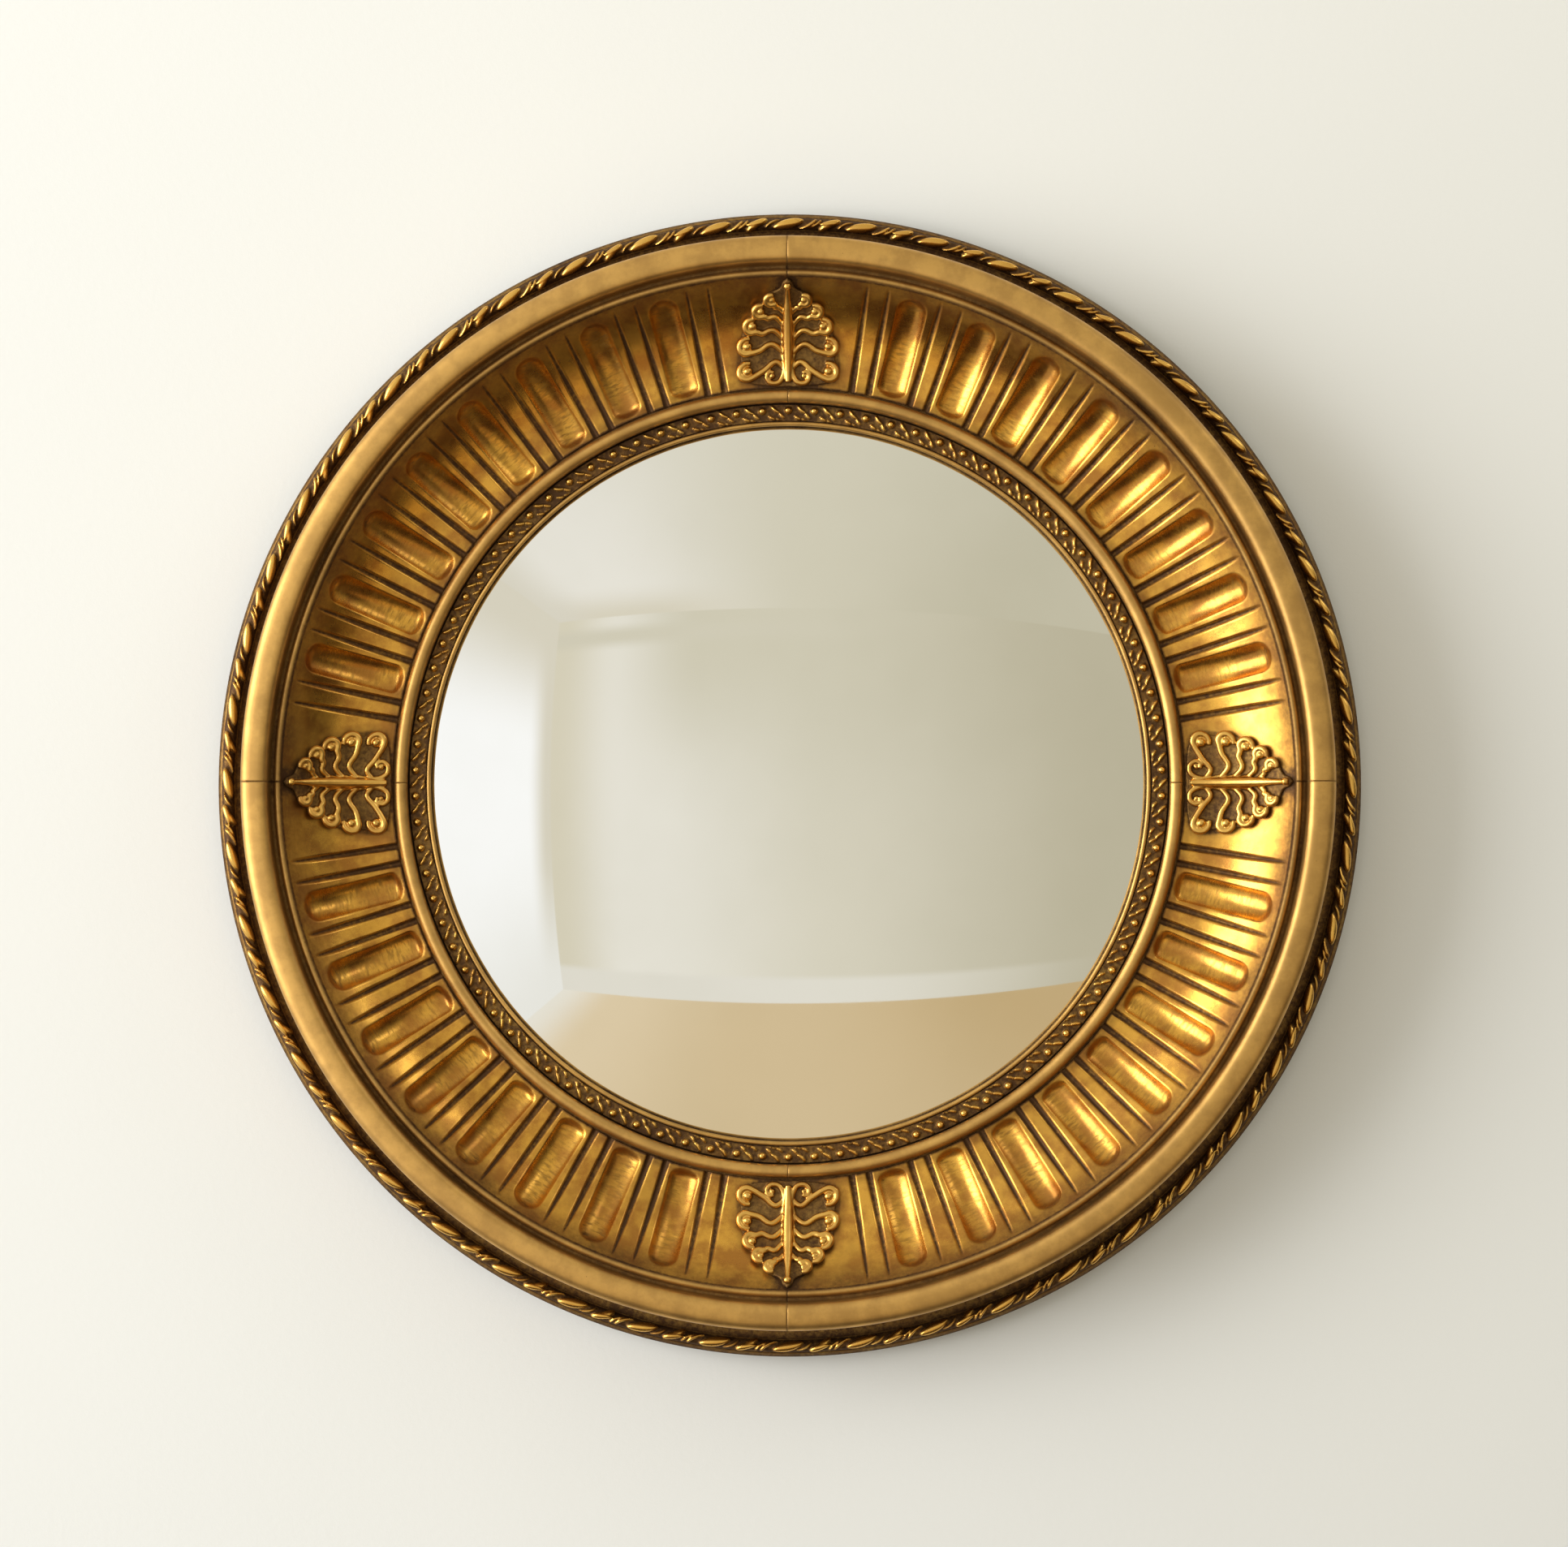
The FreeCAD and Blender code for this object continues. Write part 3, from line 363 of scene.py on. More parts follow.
gilding, given, result = new_effect(
    "aged_gilding",
    [
        ("Glaze", "NodeSocketFloat", 0.0),
        ("Rubbed", "NodeSocketFloat", 0.0),
        ("Brushed", "NodeSocketFloat", 0.0),
        ("Dull", "NodeSocketFloat", 0.0),
        ("Clouds", "NodeSocketFloat", 0.5),
        ("Leaf", "NodeSocketColor", (0.75, 0.43, 0.11, 1.0)),
        ("Toned Leaf", "NodeSocketColor", (0.5, 0.25, 0.06, 1.0)),
        ("Glaze Colour", "NodeSocketColor", GLAZE_AND_SHADE_BROWN),
    ],
    [
        ("Colour", "NodeSocketColor"),
        ("Roughness", "NodeSocketFloat"),
        ("Metal", "NodeSocketFloat"),
        ("Height", "NodeSocketFloat"),
    ],
)
asked = given.outputs
where = object_place(gilding)
broad = grain(gilding, where, 22.0, 5.0, 0.6)
middle_noise = grain(gilding, where, 75.0, 6.0, 0.62)
fine = grain(gilding, where, 520.0, 5.0, 0.7)
# The leaf: two golds in clouds, red bole where it is thin, and a duller gold on matt mouldings.
tone = spread(gilding, middle_noise, 0.35, 0.65)
leaf = blend(gilding, tone, asked["Toned Leaf"], asked["Leaf"])
leaf = blend(gilding, times(gilding, asked["Rubbed"], 0.6), leaf, asked["Leaf"])
bole = spread(gilding, grain(gilding, where, 240.0, 6.0, 0.7), 0.6, 0.72)
bole = times(gilding, bole, spread(gilding, broad, 0.42, 0.62))
leaf = blend(gilding, times(gilding, bole, 0.22), leaf, BOLE_RED)
matt = blend(gilding, tone, DULL_DARK, DULL_LIGHT)
leaf = blend(gilding, times(gilding, asked["Dull"], 0.75), leaf, matt)
cloud = times(gilding, spread(gilding, broad, 0.46, 0.72), asked["Clouds"])
cloud = times(gilding, cloud, spread(gilding, middle_noise, 0.3, 0.6, 0.35, 1.0))
# Glaze settled in the hollows, together with the painted shade that each piece marks.
settled_glaze_and_shade = times(gilding, asked["Glaze"], spread(gilding, fine, 0.25, 0.75, 0.78, 1.15))
# Brush strokes of glaze that run round the mirror's axis.
sides = place(gilding, "ShaderNodeSeparateXYZ", None, Vector=where).outputs
flatten = {"i0": where, "i1": (1.0, 0.0, 1.0)}
flat = place(gilding, "ShaderNodeVectorMath", {"operation": "MULTIPLY"}, **flatten).outputs[0]
length = place(gilding, "ShaderNodeVectorMath", {"operation": "LENGTH"}, i0=flat)
round_axis = reckon(gilding, "ARCTAN2", sides["Z"], sides["X"])
stretched = {"X": length.outputs["Value"], "Y": times(gilding, round_axis, STROKE_STRETCH)}
stroke_place = place(gilding, "ShaderNodeCombineXYZ", None, **stretched).outputs[0]
strokes = spread(gilding, grain(gilding, stroke_place, 800.0, 4.0, 0.6), 0.42, 0.66)
strokes = times(gilding, strokes, spread(gilding, middle_noise, 0.36, 0.6, 0.25, 1.0))
strokes = times(gilding, strokes, times(gilding, asked["Brushed"], 0.6))
flecks = spread(gilding, grain(gilding, where, 900.0, 2.0, 0.5), 0.74, 0.8)
flecks = times(gilding, flecks, spread(gilding, middle_noise, 0.45, 0.62))
dark = plus(gilding, plus(gilding, settled_glaze_and_shade, strokes), times(gilding, cloud, 0.6))
dark = plus(gilding, dark, times(gilding, flecks, 0.7))
dark = reckon(gilding, "SUBTRACT", dark, times(gilding, asked["Rubbed"], 0.25))
burnish = spread(gilding, plus(gilding, dark, times(gilding, fine, 0.25)), 0.0, 1.0, 0.25, 0.55)
relief = plus(gilding, times(gilding, fine, 0.6), times(gilding, middle_noise, 0.4))
for label, value in (
    ("Colour", blend(gilding, dark, leaf, asked["Glaze Colour"])),
    ("Roughness", plus(gilding, burnish, times(gilding, asked["Dull"], 0.2))),
    ("Metal", spread(gilding, dark, 0.2, 1.0, 1.0, 0.8)),
    ("Height", relief),
):
    gilding.links.new(value, result.inputs[label])


def gilt(name, leaf_colour, toned_colour, clouds):
    """A gilded finish that reads a piece's own marks of glaze and painted shade, rubbing, brushing
    and dullness.
    """
    finish, tree, shader = new_finish(name)
    shader.inputs["Specular IOR Level"].default_value = 0.25
    asked = {"Clouds": clouds, "Leaf": leaf_colour, "Toned_Leaf": toned_colour}
    asked["Glaze_Colour"] = GLAZE_AND_SHADE_BROWN
    for word in ("glaze", "rubbed", "brushed", "dull"):
        layer = place(tree, "ShaderNodeAttribute", {"attribute_name": word})
        asked[word.capitalize()] = layer.outputs["Fac"]
    effect = place(tree, "ShaderNodeGroup", {"node_tree": gilding}, **asked).outputs
    tree.links.new(effect["Colour"], shader.inputs["Base Color"])
    tree.links.new(effect["Roughness"], shader.inputs["Roughness"])
    tree.links.new(effect["Metal"], shader.inputs["Metallic"])
    emboss(tree, shader, effect["Height"], 0.6, 0.00009)
    return finish


FRAME_LEAF = (0.84, 0.455, 0.08, 1.0)
FRAME_TONED = (0.48, 0.215, 0.045, 1.0)
frame_gilt = gilt("frame_gilding", FRAME_LEAF, FRAME_TONED, 0.5)


def wooden(name, light, dark_colour, scale, roughness=0.7):
    """Bare or stained wood with grain along X, pores and a little dirt."""
    finish, tree, shader = new_finish(name)
    spot = object_place(tree)
    along = place(tree, "ShaderNodeMapping", None, Vector=spot, Scale=(0.25, 9.0, 9.0))
    rings = spread(tree, grain(tree, along.outputs[0], scale, 6.0, 0.62), 0.3, 0.7)
    closer = place(tree, "ShaderNodeMapping", None, Vector=spot, Scale=(1.0, 14.0, 14.0))
    pores = grain(tree, closer.outputs[0], 160.0, 6.0, 0.7)
    dirt = spread(tree, grain(tree, spot, 18.0, 5.0, 0.6), 0.4, 0.7)
    colour = blend(tree, rings, light, dark_colour)
    colour = blend(tree, spread(tree, pores, 0.55, 0.75, 0.0, 0.6), colour, dark_colour)
    colour = blend(tree, times(tree, dirt, 0.45), colour, (0.05, 0.035, 0.02, 1.0))
    tree.links.new(colour, shader.inputs["Base Color"])
    worn = spread(tree, pores, 0.2, 0.8, roughness - 0.12, roughness + 0.1)
    tree.links.new(worn, shader.inputs["Roughness"])
    emboss(tree, shader, plus(tree, times(tree, pores, 0.6), times(tree, rings, 0.3)), 0.5, 0.0002)
    return finish


back_wood = wooden("frame_back_wood", (0.34, 0.19, 0.085, 1.0), (0.17, 0.085, 0.035, 1.0), 26.0)
quarter.data.materials.append(frame_gilt)
quarter.data.materials.append(back_wood)
for face in quarter.data.polygons:
    out = math.hypot(face.center.x, face.center.z)
    behind = -face.center.y < 8.2 * MM and out < 238.0 * MM
    in_rebate = -face.center.y < 18.2 * MM and out < 163.0 * MM
    joint_face = abs(face.normal.y) < 1e-4 and len(face.vertices) > 4
    if behind or in_rebate or joint_face:
        face.material_index = 1
for index, name in enumerate(QUARTERS):
    twin = copy_turned(quarter, "frame_" + name, 90.0 * index)
    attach(twin, "frame")
    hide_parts("frame_quarter_" + name)
bpy.data.objects.remove(quarter)

# ---------------------------------------------------------------------------------------------
# Rope edge. Four strips of cast and gilded leaf rope glued round the flange: at each turn an
# almond leaf, a forked leaf of two lobes, two nested ribs and a slim leaf, along the twist.
# ---------------------------------------------------------------------------------------------
ROPE_CENTRE = 235.2
ROPE_HEIGHT = 15.3
ROPE_RADIUS = 4.3
ROPE_STEPS = 736
ROPE_UNITS = 12
ROPE_GROUND = 1.75  # depth of the ground between the leaves below the round
ROPE_LEAVES = [
    # along and across its middle, half length, half width, height, slant, bow, broad end
    (0.0, -0.3, 7.0, 3.0, 1.8, 22.0, 0.0, 0.0),
    (17.6, 0.8, 4.9, 2.0, 1.8, 22.0, 0.9, 0.2),
    (15.8, -2.1, 4.6, 1.75, 1.65, 44.0, -0.8, 0.2),
    (8.6, -0.6, 5.0, 1.05, 1.4, 42.0, 1.3, 0.0),
    (11.2, -0.4, 4.7, 0.8, 1.25, 44.0, 1.3, 0.0),
    (23.8, 0.2, 4.3, 0.8, 1.0, 40.0, -1.0, 0.0),
]


def leaf_relief(along, across, shape):
    """Height of one leaf with pointed ends at places along and across the strip."""
    middle_along, middle_across, half_length, half_width, rise, slant, bow, broad = shape
    turned_by = math.radians(slant)
    x = along - middle_along
    y = across - middle_across
    down = x * math.cos(turned_by) + y * math.sin(turned_by)
    off = -x * math.sin(turned_by) + y * math.cos(turned_by)
    share = down / half_length
    off = off - bow * (share**2 - 0.4)
    width = half_width * np.clip(1.0 - share**2, 0.0, 1.0) ** 0.65 * (1.0 + broad * share) + 1e-6
    crown = np.clip(1.0 - (off / width) ** 2, 0.0, 1.0) ** 0.5
    return rise * crown * np.clip(1.0 - share**2, 0.0, 1.0) ** 0.35


rope_section = [(227.3, 12.0), (227.3, 13.2), (228.0, 13.9), (229.2, 14.1), (230.3, 13.7)]
rope_section += arc(ROPE_CENTRE, ROPE_HEIGHT, ROPE_RADIUS - 0.05, 184.0, 0.0, 33)
rope_section += [(239.45, 14.0), (239.45, 12.0)]
rope = turned("rope_strip", rope_section, 90.0, ROPE_STEPS)
radius, height, turn = read_points(rope)
round_angle = np.arctan2(height - ROPE_HEIGHT, radius - ROPE_CENTRE)
from_centre = np.hypot(radius - ROPE_CENTRE, height - ROPE_HEIGHT)
on_round = (np.abs(from_centre - ROPE_RADIUS + 0.05) < 0.02) & (height > ROPE_HEIGHT - 0.4)
across = (math.pi / 2 - round_angle) * ROPE_RADIUS
unit_length = math.radians(90.0 / ROPE_UNITS) * ROPE_CENTRE
along = (-np.radians(turn) * ROPE_CENTRE) % unit_length
relief = np.zeros_like(radius)
for shape in ROPE_LEAVES:
    for shift in (-unit_length, 0.0, unit_length):
        relief = np.maximum(relief, leaf_relief(along + shift, across, shape))
relief = np.maximum(relief, 0.6 * bump(6.4, 0.9, across))
relief = np.maximum(relief, 0.5 * bump(-6.3, 0.8, across))
sunk = np.where(on_round, ROPE_GROUND - relief, 0.0)
shrink = (from_centre - sunk) / from_centre
write_points(
    rope,
    np.where(on_round, ROPE_CENTRE + (radius - ROPE_CENTRE) * shrink, radius),
    np.where(on_round, ROPE_HEIGHT + (height - ROPE_HEIGHT) * shrink, height),
    turn,
)
# Glaze and painted shade in the ground between the leaves, and dark over the strip's flanks and
# foot, next to the rim and the wall.
mark(rope, "glaze", np.where(on_round, step(1.15, 0.1, relief), 0.9))
mark(rope, "rubbed", np.where(on_round, step(0.9, 1.6, relief), 0.0))
smooth(rope, 60.0)
ORNAMENT_LEAF = (0.86, 0.51, 0.12, 1.0)
ORNAMENT_TONED = (0.60, 0.30, 0.065, 1.0)
ornament_gilt = gilt("ornament_gilding", ORNAMENT_LEAF, ORNAMENT_TONED, 0.3)
rope.data.materials.append(ornament_gilt)
for index, name in enumerate(QUARTERS):
    twin = copy_turned(rope, "rope_" + name, 90.0 * index)
    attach(twin, "frame")
    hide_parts("rope_edge_" + name)
bpy.data.objects.remove(rope)

# ---------------------------------------------------------------------------------------------
# Palmettes. Four cast composition leaves glued over the joints in the cove: a ridged stem with a
# bud, five pairs of fronds that dip and curl up round a ball, and two scrolls at the foot.
# ---------------------------------------------------------------------------------------------
JOINTS = ["top", "left", "bottom", "right"]
PALMETTE_LENGTH = float(cove_run(COVE_OUTER - 0.6)) - float(cove_run(COVE_INNER + 0.6))
# Each frond: root on the stem, crest, dip, then its ball and the curl's reach round it, in mm.
FRONDS = [
    [(0.9, 31.6), (3.5, 35.2), (5.0, 35.6), (6.7, 39.4), 2.4, 1.45],
    [(1.2, 25.6), (5.2, 30.6), (8.2, 30.2), (11.3, 33.8), 2.8, 1.6],
    [(1.3, 19.6), (6.2, 24.4), (10.6, 23.2), (14.8, 26.9), 3.15, 1.8],
    [(1.4, 13.8), (6.8, 18.2), (11.8, 15.7), (17.0, 17.9), 3.4, 1.95],
    [(1.5, 7.6), (5.4, 10.3), (9.8, 7.0), (16.9, 7.0), 3.5, 2.05],
]
CURL_ANGLES = [-118.0, -72.0, -25.0, 20.0, 65.0, 108.0]
SCROLL = [(1.2, 9.5), (2.0, 4.6), (3.9, 1.6), (7.0, 1.3), (8.9, 3.6), (7.9, 6.0), (6.0, 5.6)]
BARBS = [(9.0, 15.0), (15.0, 21.5), (21.5, 28.0)]
STEM_UP = [1.5, 12.0, 24.0, 35.0, 41.0, PALMETTE_LENGTH - 4.0, PALMETTE_LENGTH - 0.8]
# The right half of the thin pad under the fronds, from the foot to the tip.
PAD_EDGE = [(0.0, -0.2), (4.0, -0.4), (9.5, 0.4), (14.0, 1.2), (19.6, 3.4), (20.8, 8.6)]
PAD_EDGE += [(19.6, 12.4), (20.9, 17.6), (19.0, 22.4), (18.5, 27.4), (15.6, 30.9), (14.4, 34.8)]
PAD_EDGE += [(10.7, 37.4), (9.2, 41.0), (6.0, 42.6), (3.0, 44.6), (1.9, 48.0)]
PAD_EDGE += [(0.0, PALMETTE_LENGTH)]
PAD_THICKNESS = 1.3


def curve_through(points, count):
    """Points of a smooth line through a few given points."""
    knots = [np.array(point) for point in points]
    knots = [2 * knots[0] - knots[1], *knots, 2 * knots[-1] - knots[-2]]
    made = []
    for before, first, second, after in zip(knots, knots[1:], knots[2:], knots[3:]):
        for share in np.linspace(0.0, 1.0, count, endpoint=False):
            lean = (second - before) * share
            bend = (2 * before - 5 * first + 4 * second - after) * share**2
            twist = (3 * first - before - 3 * second + after) * share**3
            made.append(0.5 * (2 * first + lean + bend + twist))
    made.append(knots[-2])
    return made


def rod(points, thickness, lift):
    """A closed round rod along a line drawn on the flat, with a thickness for each point."""
    line = bpy.data.curves.new("rod", "CURVE")
    line.dimensions = "3D"
    line.bevel_depth = 1.0
    line.bevel_resolution = 3
    line.use_fill_caps = True
    strand = line.splines.new("POLY")
    strand.points.add(len(points) - 1)
    for corner, (x, y), half, rise in zip(strand.points, points, thickness, lift):
        corner.co = (x * MM, y * MM, rise * MM, 1.0)
        corner.radius = half * MM
    made = bpy.data.objects.new("rod", line)
    bpy.context.scene.collection.objects.link(made)
    return made


def ball(x, y, rise, half):
    spot = (x * MM, y * MM, rise * MM)
    bpy.ops.mesh.primitive_uv_sphere_add(
        segments=24, ring_count=14, radius=half * MM, location=spot
    )
    return bpy.context.object


def hump(centre, reach, value):
    """A bell of height 1 at a centre."""
    return np.exp(-(((value - centre) / reach) ** 2))


bpy.ops.object.select_all(action="DESELECT")
parts = []
stem_line = curve_through([(0.0, up) for up in STEM_UP], 8)
share = np.linspace(0.0, 1.0, len(stem_line))
stem_half = 1.0 + 1.15 * hump(0.32, 0.28, share) + 0.75 * hump(0.93, 0.05, share)
parts.append(rod(stem_line, stem_half, 1.2 + 0.9 * stem_half))
for side in (-1.0, 1.0):
    for root, crest, dip, (ball_x, ball_y), reach, ball_half in FRONDS:
        path = [root, crest, dip]
        for angle in np.radians(CURL_ANGLES):
            path.append((ball_x + reach * math.cos(angle), ball_y + reach * math.sin(angle)))
        line = curve_through([(side * x, y) for x, y in path], 7)
        swell = np.sin(math.pi * np.linspace(0.0, 1.0, len(line)))
        parts.append(rod(line, 1.1 + 0.42 * swell, 1.6 + 0.75 * swell))
        parts.append(ball(side * ball_x, ball_y, 2.1, ball_half))
    scroll = curve_through([(side * x, y) for x, y in SCROLL], 8)
    share = np.linspace(0.0, 1.0, len(scroll))
    parts.append(rod(scroll, 1.25 - 0.3 * share, 1.9 + 0.4 * share))
    parts.append(ball(side * 6.6, 4.2, 1.9, 1.15))
    for low, high in BARBS:
        knots = [(side * 0.6, low), (side * 2.1, (low + high) / 2 - 0.3), (side * 3.2, high)]
        barb = curve_through(knots, 6)
        parts.append(rod(barb, np.linspace(1.2, 0.4, len(barb)), np.linspace(2.2, 1.6, len(barb))))
bpy.ops.object.select_all(action="DESELECT")
bpy.ops.mesh.primitive_circle_add(vertices=96, radius=1.0, fill_type="NGON")
pad = bpy.context.object
pad_line = curve_through(PAD_EDGE, 8)
pad_line = pad_line + [point * np.array([-1.0, 1.0]) for point in reversed(pad_line[1:-1])]
places_on = np.linspace(0, len(pad_line), len(pad.data.vertices), endpoint=False).astype(int)
for corner, place_on in zip(pad.data.vertices, places_on):
    corner.co = (pad_line[place_on][0] * MM, pad_line[place_on][1] * MM, 0.0)
bpy.ops.object.mode_set(mode="EDIT")
bpy.ops.mesh.select_all(action="SELECT")
bpy.ops.mesh.extrude_region_move(
    TRANSFORM_OT_translate={"value": (0.0, 0.0, PAD_THICKNESS * MM)}
)
bpy.ops.mesh.select_all(action="SELECT")
bpy.ops.mesh.normals_make_consistent(inside=False)
bpy.ops.object.mode_set(mode="OBJECT")
for part in parts:
    part.select_set(True)
pad.select_set(True)
bpy.context.view_layer.objects.active = pad
bpy.ops.object.convert(target="MESH")
bpy.ops.object.join()
palmette = bpy.context.object
palmette.name = "palmette"
bpy.ops.object.transform_apply(location=True, rotation=True, scale=True)
fuse = palmette.modifiers.new("fuse", "REMESH")
fuse.mode = "VOXEL"
fuse.voxel_size = 0.33 * MM
bpy.ops.object.modifier_apply(modifier="fuse")
soften = palmette.modifiers.new("soften", "SMOOTH")
soften.factor = 0.5
soften.iterations = 2
bpy.ops.object.modifier_apply(modifier="soften")
points = np.zeros(len(palmette.data.vertices) * 3)
palmette.data.vertices.foreach_get("co", points)
points = points.reshape(-1, 3) / MM
rise = np.clip(points[:, 2], 0.0, None)
# Glaze and painted shade, darker the lower a point lies over the cove.
mark(palmette, "glaze", step(2.6, 1.4, rise) * 0.86)
mark(palmette, "rubbed", step(2.6, 4.0, rise))
mark(palmette, "dull", np.full(len(points), 0.2))
arc_angle = (points[:, 1] + cove_run(COVE_INNER + 0.6)) / COVE_RADIUS
out = COVE_INNER + (COVE_RADIUS - 0.1 - rise) * np.sin(arc_angle)
high = COVE_CENTRE - (COVE_RADIUS - 0.1 - rise) * np.cos(arc_angle)
sideways = points[:, 0] / (COVE_INNER + COVE_RADIUS * np.sin(arc_angle))
bent = np.stack([out * np.sin(sideways), -high, out * np.cos(sideways)], axis=1) * MM
palmette.data.vertices.foreach_set("co", bent.astype(np.float32).ravel())
palmette.data.update()
palmette.data.materials.clear()
palmette.data.materials.append(ornament_gilt)
smooth(palmette, 80.0)
for index, name in enumerate(JOINTS):
    twin = copy_turned(palmette, "leaf_" + name, 90.0 * index)
    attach(twin, "frame")
    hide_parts("palmette_" + name)
bpy.data.objects.remove(palmette)

# ---------------------------------------------------------------------------------------------
# Sight slip and its carved band. A turned ring whose thin rounded lip laps the glass, and round
# it a narrow strip of ninety balls with slanting leaves, pressed in composition, glued and gilded.
# ---------------------------------------------------------------------------------------------
slip_section = [(153.1, 12.0), (161.6, 12.0), (161.6, 18.0), (158.6, 18.0), (158.6, 20.85)]
slip_section += [(155.0, 20.87), (151.45, 20.87), (151.3, 21.1)]
slip_section += arc(150.42, 21.2, 0.92, 0.0, 180.0, 9)
slip_section += [(149.55, 20.4), (149.75, 19.67), (151.5, 19.67), (153.1, 19.67)]
slip = turned("slip", slip_section, 360.0, 720)
radius, height, turn = read_points(slip)
lip = step(20.6, 21.4, height) * (radius < 151.4)
wavy_radius = radius + 0.05 * lip * waves(turn * 3.0, radius, 4)
write_points(slip, wavy_radius, height + lip * 0.06 * waves(turn * 2.0, radius, 2), turn)
# Dark under the band, and a painted shadow down the lip's foot along the glass's edge.
mark(slip, "glaze", np.where(radius > 151.25, 1.0, 0.85 * step(21.3, 20.2, height)))
mark(slip, "rubbed", lip * 0.3)
mark(slip, "dull", np.ones(len(radius)))
slip.data.materials.append(frame_gilt)
smooth(slip, 50.0)
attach(slip, "frame")
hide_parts("sight_slip")

BAND_UNITS = 90
BAND_STEPS = 2160
BAND_ROWS = 19
BAND_FOOT = 151.6
BAND_MIDDLE = 155.0
BALL_PLACE = 155.9
BALL_HALF = 1.6
BALL_RISE = 1.9
# Round the ring as seen from the front, outwards from the foot, and the rest as on the rope.
BAND_LEAVES = [
    (5.5, 4.6, 2.6, 0.72, 1.35, -42.0, 0.55, 0.0),
    (3.9, 1.35, 1.9, 0.62, 1.15, -32.0, 0.35, 0.0),
    (8.1, 2.2, 1.9, 0.6, 1.15, -50.0, 0.4, 0.0),
    (6.6, 0.7, 1.3, 0.4, 0.8, -25.0, 0.2, 0.0),
]
band_section = [(158.3, 20.87), (BAND_FOOT, 20.87)]
band_section += [(r, 21.6) for r in np.linspace(151.62, 158.28, BAND_ROWS)]
band = turned("carved_band", band_section, 360.0, BAND_STEPS)
radius, height, turn = read_points(band)
unit = 360.0 / BAND_UNITS
unit_length = math.radians(unit) * BAND_MIDDLE
along = np.radians((turn % unit) - unit / 2) * BAND_MIDDLE
from_ball = (along**2 + (radius - BALL_PLACE) ** 2) / BALL_HALF**2
relief = BALL_RISE * np.clip(1.0 - from_ball, 0.0, 1.0) ** 0.5
for shape in BAND_LEAVES:
    for shift in (-1.0, 0.0, 1.0):
        leaf = leaf_relief(-along + shift * unit_length, radius - BAND_FOOT, shape)
        relief = np.maximum(relief, leaf)
top_face = height > 21.5
write_points(band, radius, height + np.where(top_face, relief, 0.0), turn)
# Glaze and painted shade in the ground between the balls and leaves, and dark down the band's
# sides.
mark(band, "glaze", np.where(top_face, 0.92 * step(1.1, 0.15, relief), 1.0))
mark(band, "rubbed", np.where(top_face, step(0.9, 1.5, relief), 0.0))
band.data.materials.append(ornament_gilt)
smooth(band, SHARP)
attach(band, "frame")
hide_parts("leaf_and_dart_band")

# ---------------------------------------------------------------------------------------------
# Convex glass. A shallow cap of a sphere of about half a metre radius, three millimetres thick,
# silvered behind, with a ground edge. It sits under the slip's lip on a felt ring.
# ---------------------------------------------------------------------------------------------
GLASS_CENTRE = -457.66
GLASS_CURVE = 500.0
GLASS_RADIUS = 152.4
GLASS_THICKNESS = 3.0
edge_angle = math.degrees(math.asin(GLASS_RADIUS / GLASS_CURVE))
GLASS_BACK = GLASS_CURVE - GLASS_THICKNESS
back_angle = math.degrees(math.asin(GLASS_RADIUS / GLASS_BACK))
glass_section = arc(0.0, GLASS_CENTRE, GLASS_CURVE, 90.0, 90.0 - edge_angle, 72)
glass_section += arc(0.0, GLASS_CENTRE, GLASS_BACK, 90.0 - back_angle, 90.0, 24)
glass = turned("mirror_glass", glass_section, 360.0, 360)
silvered, tree, shader = new_finish("silvered_glass")
spot = object_place(tree)
haze = spread(tree, grain(tree, spot, 9.0, 4.0, 0.6), 0.35, 0.75)
silver = blend(tree, haze, (0.90, 0.90, 0.87, 1.0), (0.86, 0.86, 0.82, 1.0))
bloom = spread(tree, grain(tree, spot, 60.0, 5.0, 0.7), 0.55, 0.8, 0.02, 0.045)
tree.links.new(silver, shader.inputs["Base Color"])
tree.links.new(bloom, shader.inputs["Roughness"])
shader.inputs["Metallic"].default_value = 1.0
glass.data.materials.append(silvered)
smooth(glass, 40.0)
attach(glass, "frame")
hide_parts("convex_glass")

# ---------------------------------------------------------------------------------------------
# Back of the mirror. A thin stained board in the rebate behind a felt ring, held by four brass
# turn buttons on steel screws, and the brass hanging plate with its wire ring.
# ---------------------------------------------------------------------------------------------


def metal(name, bright, dull, roughness, tarnish):
    """Dull metal with tarnish in patches and fine scratches."""
    finish, tree, shader = new_finish(name)
    spot = object_place(tree)
    patches = spread(tree, grain(tree, spot, 140.0, 6.0, 0.65), 0.4, 0.68)
    fine_grain = grain(tree, spot, 1400.0, 4.0, 0.7)
    colour = blend(tree, times(tree, patches, tarnish), bright, dull)
    wear = plus(tree, times(tree, patches, 0.5), times(tree, fine_grain, 0.4))
    tree.links.new(colour, shader.inputs["Base Color"])
    worn = spread(tree, wear, 0.0, 1.0, roughness, roughness + 0.35)
    tree.links.new(worn, shader.inputs["Roughness"])
    shader.inputs["Metallic"].default_value = 1.0
    emboss(tree, shader, fine_grain, 0.35, 0.00005)
    return finish


def dress(node, finish):
    """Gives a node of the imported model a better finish."""
    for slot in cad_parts[node].material_slots:
        slot.material = finish


felt, tree, shader = new_finish("pressed_felt")
fibres = grain(tree, object_place(tree), 1600.0, 6.0, 0.8)
greys = blend(tree, fibres, (0.03, 0.028, 0.026, 1.0), (0.12, 0.11, 0.10, 1.0))
tree.links.new(greys, shader.inputs["Base Color"])
shader.inputs["Roughness"].default_value = 0.95
emboss(tree, shader, fibres, 0.8, 0.0004)

